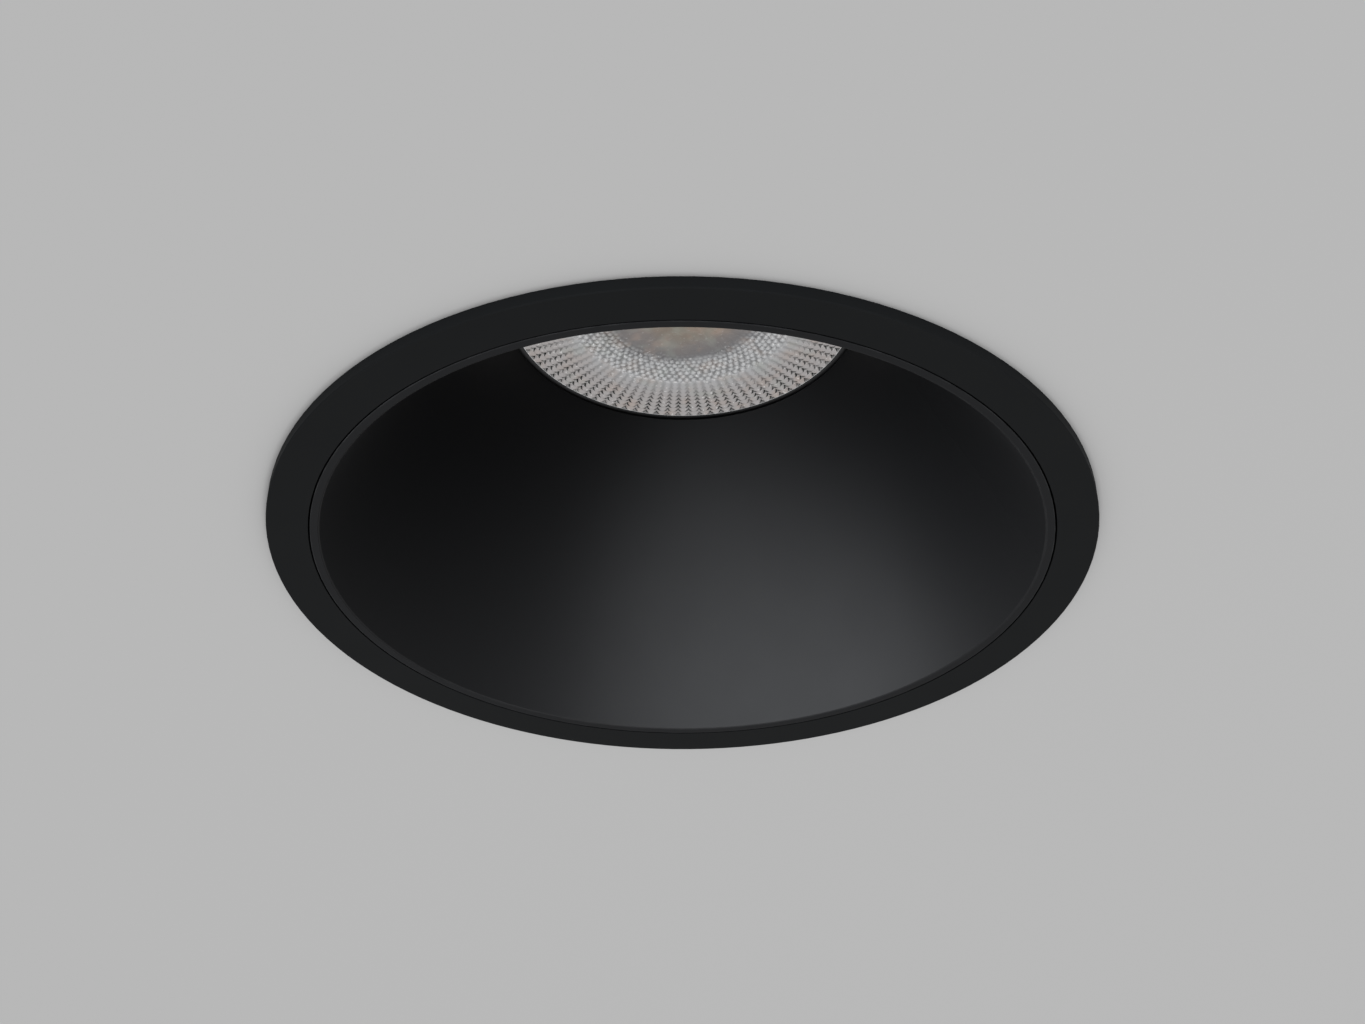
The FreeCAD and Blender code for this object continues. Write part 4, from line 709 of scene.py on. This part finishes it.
def lensZones(tree, place, radius):
    # rings of colour, with an uneven edge between the beads and the warm middle
    inner = mapRange(tree, radius, lens["scaleZone"], lens["beadZone"], smooth=True)
    centred = mathNode(tree, "SUBTRACT", noiseAt(tree, place, *lensLook["ringNoise"]), 0.5)
    wobble = product(tree, centred, lensLook["ringUneven"], inner)
    share = mathNode(tree, "ADD", mathNode(tree, "DIVIDE", radius, lens["faceRadius"]), wobble)
    ramp = addNode(tree, "ShaderNodeValToRGB", {0: share})
    stops = ramp.color_ramp.elements
    for index, (position, color) in enumerate(lensLook["rings"]):
        stop = stops[index] if index < 2 else stops.new(position)
        stop.position = position
        stop.color = (*color, 1)
    color = ramp.outputs[0]
    for noise, strength, tint in lensLook["tints"]:
        color = mixColor(tree, mapRange(tree, noiseAt(tree, place, *noise), *strength), color, tint)
    return color


def paintedNotchShade(tree, place, split, radius):
    # across runs over a column and row along it: painted shade lies past a scale's round end, in the pit there
    angle = mathNode(tree, "ARCTAN2", split["Y"], split["X"])
    turned = mathNode(tree, "SUBTRACT", angle, math.radians(lens["turn"]))
    column = product(tree, turned, lens["columns"] / (2 * math.pi))
    centred = mathNode(tree, "SUBTRACT", mathNode(tree, "FRACT", column), 0.5)
    across = product(tree, mathNode(tree, "ABSOLUTE", centred), 2.0)
    inward = mathNode(tree, "DIVIDE", mathNode(tree, "SUBTRACT", lens["rowEnd"], radius), lens["rowPitch"])
    noise = mathNode(tree, "SUBTRACT", noiseAt(tree, place, *lensLook["rowNoise"]), 0.5)
    uneven = mathNode(tree, "ADD", inward, product(tree, noise, lensLook["rowJitter"]))
    row = mathNode(tree, "SUBTRACT", 1.0, mathNode(tree, "FRACT", uneven))
    roundEnd = product(tree, mathNode(tree, "POWER", across, lensLook["roundPower"]), lens["rowRound"])
    past = mathNode(tree, "SUBTRACT", mathNode(tree, "ADD", row, roundEnd), 1.0)
    start, end = (lens["scaleZone"] + reach for reach in lensLook["zoneBlend"])
    pattern = lens["patternRadius"]
    inScales = mapRange(tree, radius, start, end, smooth=True)
    notchShade = product(
        tree,
        mapRange(tree, past, *lensLook["line"], smooth=True),
        mapRange(tree, across, *lensLook["sides"], smooth=True),
        mapRange(tree, past, *lensLook["fade"], smooth=True),
        mapRange(tree, radius, *lensLook["outward"], smooth=True),
        mapRange(tree, noiseAt(tree, place, *lensLook["wornNoise"]), *lensLook["worn"]),
        inScales,
        mapRange(tree, radius, pattern, pattern - lensLook["patternBlend"]),
    )
    # the columns themselves are soft ribs, with a little painted shade where they meet
    rib = product(tree, mapRange(tree, across, *lensLook["rib"], smooth=True), inScales)
    return mathNode(tree, "MAXIMUM", notchShade, rib)


def makeLensMaterial():
    material, tree, surface = newMaterial("lens_acrylic")
    place = objectPlace(tree)
    split = separate(tree, place)
    radius = axisDistance(tree, split)
    gapShade = addNode(tree, "ShaderNodeAttribute", attribute_name="gapShade").outputs["Fac"]
    paintedHighlight = addNode(tree, "ShaderNodeAttribute", attribute_name="paintedHighlight").outputs["Fac"]
    # painted shade in the pits past the scales, between the ribs and in the gaps between the beads
    shade = mathNode(tree, "MAXIMUM", paintedNotchShade(tree, place, split, radius), gapShade)
    speck = product(
        tree,
        mapRange(tree, noiseAt(tree, place, *lensLook["speckNoise"]), *lensLook["speck"]),
        mapRange(tree, radius, lens["blurZone"], lens["beadZone"], *lensLook["speckShare"]),
    )
    pattern = lens["patternRadius"]
    color = lensZones(tree, place, radius)
    color = mixColor(tree, speck, color, lensLook["speckColor"])
    color = mixColor(tree, shade, color, lensLook["paintedShadeColor"])
    # painted highlight on the tops of the beads
    highlightShare = mathNode(tree, "MULTIPLY", paintedHighlight, lensLook["paintedHighlight"], clamp=True)
    color = mixColor(tree, highlightShare, color, lensLook["highlightColor"])
    # a fine painted highlight line where the pattern ends at the rim
    rimHighlight = mapRange(tree, radius, pattern, pattern + lens["patternEnd"], 0.0, lensLook["rimHighlight"])
    color = mixColor(tree, rimHighlight, color, lensLook["highlightColor"])
    grain = useGroup(tree, grainGroup, Scale=lensLook["grain"])["Height"]
    bump = addNode(tree, "ShaderNodeBump", {
        "Strength": lensLook["bump"],
        "Distance": lensLook["bumpDepth"],
        "Height": mathNode(tree, "SUBTRACT", grain, shade),
    })
    shader = addNode(tree, "ShaderNodeBsdfPrincipled", {
        "Base Color": color,
        "Roughness": mapRange(tree, noiseAt(tree, place, *lensLook["roughNoise"]), *lensLook["rough"]),
        "IOR": lensLook["refraction"],
        "Coat Weight": lensLook["coat"],
        "Coat Roughness": lensLook["coatRough"],
        "Normal": bump.outputs[0],
    })
    plug(tree, surface, shader.outputs[0])
    return material


materials["lens_acrylic"] = makeLensMaterial()
makeLens()
print("lens built")


# spring clips: torsion springs round the pins and rubber sleeves on the blades
clip = {
    "bladeTilt": 6.0,  # degrees below level at rest
    "springSharp": 50,
    "sleeveSharp": 35,
    # spring
    "wireRadius": 0.45 * mm,
    "wireRoom": 0.00045 * mm,  # keeps the wire just inside the CAD spring
    "coilRadius": 2.3 * mm,
    "coilPitch": 1.45 * mm,
    "wholeTurns": 3,
    "pointsPerTurn": 28,
    "wireSteps": 4,
    "legTop": -0.8 * mm,  # the fixed leg runs down from here, below the hinge's axis
    "legTipHeight": 8.202 * mm,
    "legReach": 15.0 * mm,
    "legShares": (0.05, 0.5, 1.0),  # points along the leg that turns with the blade
    # sleeve
    "sleeveStart": 23.0 * mm,
    "sleeveEnd": 46.0 * mm,
    "sleeveLow": -4.8 * mm,
    "sleeveHigh": -2.0 * mm,
    "sleeveHalfWidth": 7.0 * mm,
    "sleeveWall": 1.0 * mm,
    "sleeveCorner": 3.0 * mm,
    "cornerSteps": 8,
    "cornerShare": 0.985,
    "sleeveRound": 0.7 * mm,
    "leastRound": 0.15 * mm,
    "mouthInset": 0.15 * mm,
    "mouthLength": 0.2 * mm,
    "endInset": 0.25 * mm,
    "endSqueeze": 0.3 * mm,
    "endRoom": 0.1 * mm,
    "pocketEnd": 1.05 * mm,  # from the blade's pocket to the sleeve's end
    "ribs": 6,
    "ribPitch": 1.6 * mm,
    "ribsEnd": 1.2 * mm,  # from the last pitch to the rounded end
    "ribDepth": 0.16 * mm,
    "ribShape": ((0.0, 0), (0.25 * mm, 1), (0.55 * mm, 1), (0.8 * mm, 0)),  # place and share of the depth
}


def clipFrame(joint):
    # x outwards from the light's axis, y along the hinge, z up
    x, y, z = joint["pos_m"]
    outward = Vector((x, y, 0)).normalized()
    across = Vector((0, 0, 1)).cross(outward)
    return Matrix((
        (outward.x, across.x, 0, x),
        (outward.y, across.y, 0, y),
        (0, 0, 1, z),
        (0, 0, 0, 1),
    ))


def springPoints(joint, turns, side):
    radius = clip["coilRadius"]
    tip = clip["legTipHeight"] - joint["pos_m"][2]
    points = [Vector((radius, side, tip)), Vector((radius, side, clip["legTop"]))]
    count = round(turns * clip["pointsPerTurn"])
    for index in range(count + 1):
        turned = turns * index / count
        angle = 2 * math.pi * turned
        along = side + clip["coilPitch"] * turned
        points.append(Vector((radius * math.cos(angle), along, radius * math.sin(angle))))
    end = 2 * math.pi * turns
    way = Vector((-math.sin(end), 0, math.cos(end)))  # along the blade
    return points + [points[-1] + way * clip["legReach"] * share for share in clip["legShares"]]


def sweepWire(name, points):
    data = bpy.data.curves.new("spring", "CURVE")
    data.dimensions = "3D"
    data.bevel_depth = clip["wireRadius"] - clip["wireRoom"]
    data.bevel_resolution = clip["wireSteps"]
    data.use_fill_caps = True
    spline = data.splines.new("POLY")
    spline.points.add(len(points) - 1)
    for point, spot in zip(spline.points, points):
        point.co = (*spot, 1)
    curve = putInScene("spring", data)
    mesh = bpy.data.meshes.new_from_object(curve)
    bpy.data.objects.remove(curve)
    mesh.name = name
    return mesh


def makeSpring(number, joint):
    name = f"clip_spring_{number}_coil"
    place = clipFrame(joint)
    turns = clip["wholeTurns"] + (270 - clip["bladeTilt"]) / 360  # the last turn ends along the blade
    side = -clip["coilPitch"] * turns / 2
    mesh = sweepWire(name, [place @ spot for spot in springPoints(joint, turns, side)])
    piece = dressMesh(name, mesh, "spring_steel", clip["springSharp"])
    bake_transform(piece)
    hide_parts(f"clip_spring_{number}")


def sleeveStations():
    # along the blade: place, how far the section is drawn in, and its half width
    end, half, corner = clip["sleeveEnd"], clip["sleeveHalfWidth"], clip["sleeveCorner"]
    start = clip["sleeveStart"]
    stations = [(start, clip["mouthInset"], half), (start + clip["mouthLength"], 0.0, half)]
    for rib in range(clip["ribs"]):
        x = end - corner - clip["ribsEnd"] - clip["ribPitch"] * (clip["ribs"] - rib)
        stations += [(x + offset, clip["ribDepth"] * share, half) for offset, share in clip["ribShape"]]
    for step in range(clip["cornerSteps"] + 1):
        angle = math.pi / 2 * step / clip["cornerSteps"]
        x = end - corner + corner * math.sin(angle) * clip["cornerShare"]
        stations.append((x, 0.0, half - corner * (1 - math.cos(angle))))
    return stations


def makeSleeve(number, joint):
    place = clipFrame(joint) @ Matrix.Rotation(math.radians(clip["bladeTilt"]), 4, "Y")
    start, end = clip["sleeveStart"], clip["sleeveEnd"]
    low, high, half = clip["sleeveLow"], clip["sleeveHigh"], clip["sleeveHalfWidth"]
    mesh = bmesh.new()

    def ringAt(x, outline):
        return addRing(mesh, [place @ Vector((x, y, z)) for y, z in outline])

    def section(x, inset, halfWidth, squeeze=0.0):
        drawnIn = inset + squeeze
        corner = max(clip["leastRound"], clip["sleeveRound"] - drawnIn)
        return ringAt(x, roundedBox(inset - halfWidth, halfWidth - inset, low + drawnIn, high - drawnIn, corner))

    # outside, from the mouth to the rounded end, with shallow grip ribs
    rings = [section(*station) for station in sleeveStations()]
    narrow = half - clip["sleeveCorner"] - clip["endRoom"]
    rings.append(section(end, clip["endInset"], narrow, clip["endSqueeze"]))
    for first, second in zip(rings, rings[1:]):
        joinRings(mesh, first, second)
    mesh.faces.new(rings[-1])

    # inside, a flat pocket for the blade
    side, floor, roof = half - clip["sleeveWall"], low + clip["sleeveWall"], high - clip["sleeveWall"]
    pocket = [(side, roof), (-side, roof), (-side, floor), (side, floor)]
    mouth = ringAt(start, pocket)
    bottom = ringAt(end - clip["pocketEnd"], pocket)
    joinRings(mesh, bottom, mouth)
    mesh.faces.new(bottom)
    edges = [mesh.edges.get((ring[i - 1], ring[i])) for ring in (rings[0], mouth) for i in range(len(ring))]
    bmesh.ops.bridge_loops(mesh, edges=edges)
    name, replaced = f"clip_sleeve_{number}_grip", f"clip_sleeve_{number}"
    finishMesh(name, mesh, joint["child"], "sleeve_rubber", replaced, clip["sleeveSharp"])


for number, joint in enumerate(frame["joints"], start=1):
    makeSpring(number, joint)
    makeSleeve(number, joint)
print("clips dressed")


# soft rings that show from above: foam under the flange, washer and seal of the gland
softRings = {
    "soffit_gasket_foam": {
        "node": "soffit_gasket", "slot": "gasket_foam",
        "bore": 52.4 * mm, "round": 0.18 * mm, "segments": 192,
    },
    "gland_washer_ring": {
        "node": "gland_washer", "slot": "gland_rubber",
        "bore": 8.15 * mm, "round": 0.3 * mm, "segments": 96,
    },
    "gland_seal_lip": {
        "node": "gland_seal", "slot": "gland_rubber",
        "bore": 3.25 * mm, "round": 0.5 * mm, "segments": 96,
    },
}
softRingSharp = 50


def makeSoftRing(name, form):
    low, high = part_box(form["node"])
    mesh = bmesh.new()
    rings = [
        addRing(mesh, circle(radius, height, form["segments"]))
        for radius, height in roundedBox(form["bore"], high.x, low.z, high.z, form["round"])
    ]
    for first, second in zip(rings, rings[1:] + rings[:1]):
        joinRings(mesh, first, second)
    finishMesh(name, mesh, "root", form["slot"], form["node"], softRingSharp)


for name, form in softRings.items():
    makeSoftRing(name, form)
print("soft rings built")


# every CAD node takes the finish of its slot
for row in frame["record"]["subparts"]:
    piece = nodes[row["node"]]
    if not piece.material_slots:
        piece.data.materials.append(None)
    for slot in piece.material_slots:
        slot.material = materials[row["material_slot"]]
print("finishes given to the CAD nodes")


# the soffit: pale from below, and seen through from above so that the body shows
soffit = {
    "radii": (51.6 * mm, 0.08, 0.3, 2.5),  # from the cut-out outwards
    "segments": 128,
    "color": (0.485, 0.485, 0.485),
    "backdrop": (0.485, 0.485, 0.485),
    "ambient": 0.58,
}
white = (1.0, 1.0, 1.0)
cool = (0.93, 0.96, 1.0)


def makeSoffit():
    mesh = bmesh.new()
    rings = [addRing(mesh, circle(radius, 0, soffit["segments"])) for radius in soffit["radii"]]
    for inner, outer in zip(rings, rings[1:]):
        joinRings(mesh, inner, outer)
    for face in mesh.faces:
        face.normal_update()
        if face.normal.z > 0:
            face.normal_flip()
    data = bpy.data.meshes.new("soffit")
    mesh.to_mesh(data)
    mesh.free()
    board = putInScene("soffit", data)
    material, tree, surface = newMaterial("soffitPaint")
    behind = addNode(tree, "ShaderNodeNewGeometry").outputs["Backfacing"]
    paint = addNode(tree, "ShaderNodeBsdfDiffuse", {"Color": soffit["color"]}).outputs[0]
    clear = addNode(tree, "ShaderNodeBsdfTransparent").outputs[0]
    blend = addNode(tree, "ShaderNodeMixShader", {0: behind, 1: paint, 2: clear})
    plug(tree, surface, blend.outputs[0])
    data.materials.append(material)


def makeWorld():
    # surfaces are lit by the ambient, and what is seen or mirrored is the backdrop
    world = bpy.data.worlds.new("room")
    world.use_nodes = True
    tree = world.node_tree
    tree.nodes.clear()
    path = addNode(tree, "ShaderNodeLightPath").outputs
    mirrored = mathNode(tree, "MAXIMUM", path["Is Glossy Ray"], path["Is Transmission Ray"])
    seen = mathNode(tree, "MAXIMUM", path["Is Camera Ray"], mirrored)
    ambient = addNode(tree, "ShaderNodeBackground", {"Color": white, "Strength": soffit["ambient"]})
    backdrop = addNode(tree, "ShaderNodeBackground", {"Color": soffit["backdrop"]})
    blend = addNode(tree, "ShaderNodeMixShader", {0: seen, 1: ambient.outputs[0], 2: backdrop.outputs[0]})
    addNode(tree, "ShaderNodeOutputWorld", {"Surface": blend.outputs[0]})
    bpy.context.scene.world = world


lamps = {
    # the wide soft key comes in low from the near left and lights the cone alone
    "key": {
        "place": (-0.81, -1.34, -0.68), "size": (5.0, 1.3), "power": 130.0,
        "color": cool, "only": "reflector_cone",
    },
    # lies almost level with the flange and lights the frame alone, at the flange's near edge
    "rim": {
        "place": (-0.2, -1.6, -0.20), "size": (2.4, 0.3), "power": 25.0,
        "color": cool, "only": "trim_frame",
    },
    "below": {"place": (0.1, 0.12, -1.72), "size": (1.3, 1.3), "power": 14.5, "color": white},
    "above": {"place": (-0.6, -0.9, 1.3), "size": (0.8, 0.8), "power": 16.0, "color": white},
    "behind": {"place": (0.9, 0.9, 0.9), "size": (0.8, 0.8), "power": 10.0, "color": white},
}


def makeLamps():
    for name, look in lamps.items():
        data = bpy.data.lights.new(name, "AREA")
        data.shape = "RECTANGLE"
        data.size, data.size_y = look["size"]
        data.energy = look["power"]
        data.color = look["color"]
        lamp = putInScene(name, data)
        lamp.location = look["place"]
        lamp.rotation_euler = (-Vector(look["place"])).to_track_quat("-Z", "Y").to_euler()
        if "only" in look:
            lit = bpy.data.collections.new(f"{name}Lights")
            lit.objects.link(nodes[look["only"]])
            lamp.light_linking.receiver_collection = lit


makeSoffit()
makeWorld()
makeLamps()
print("soffit and lights placed")
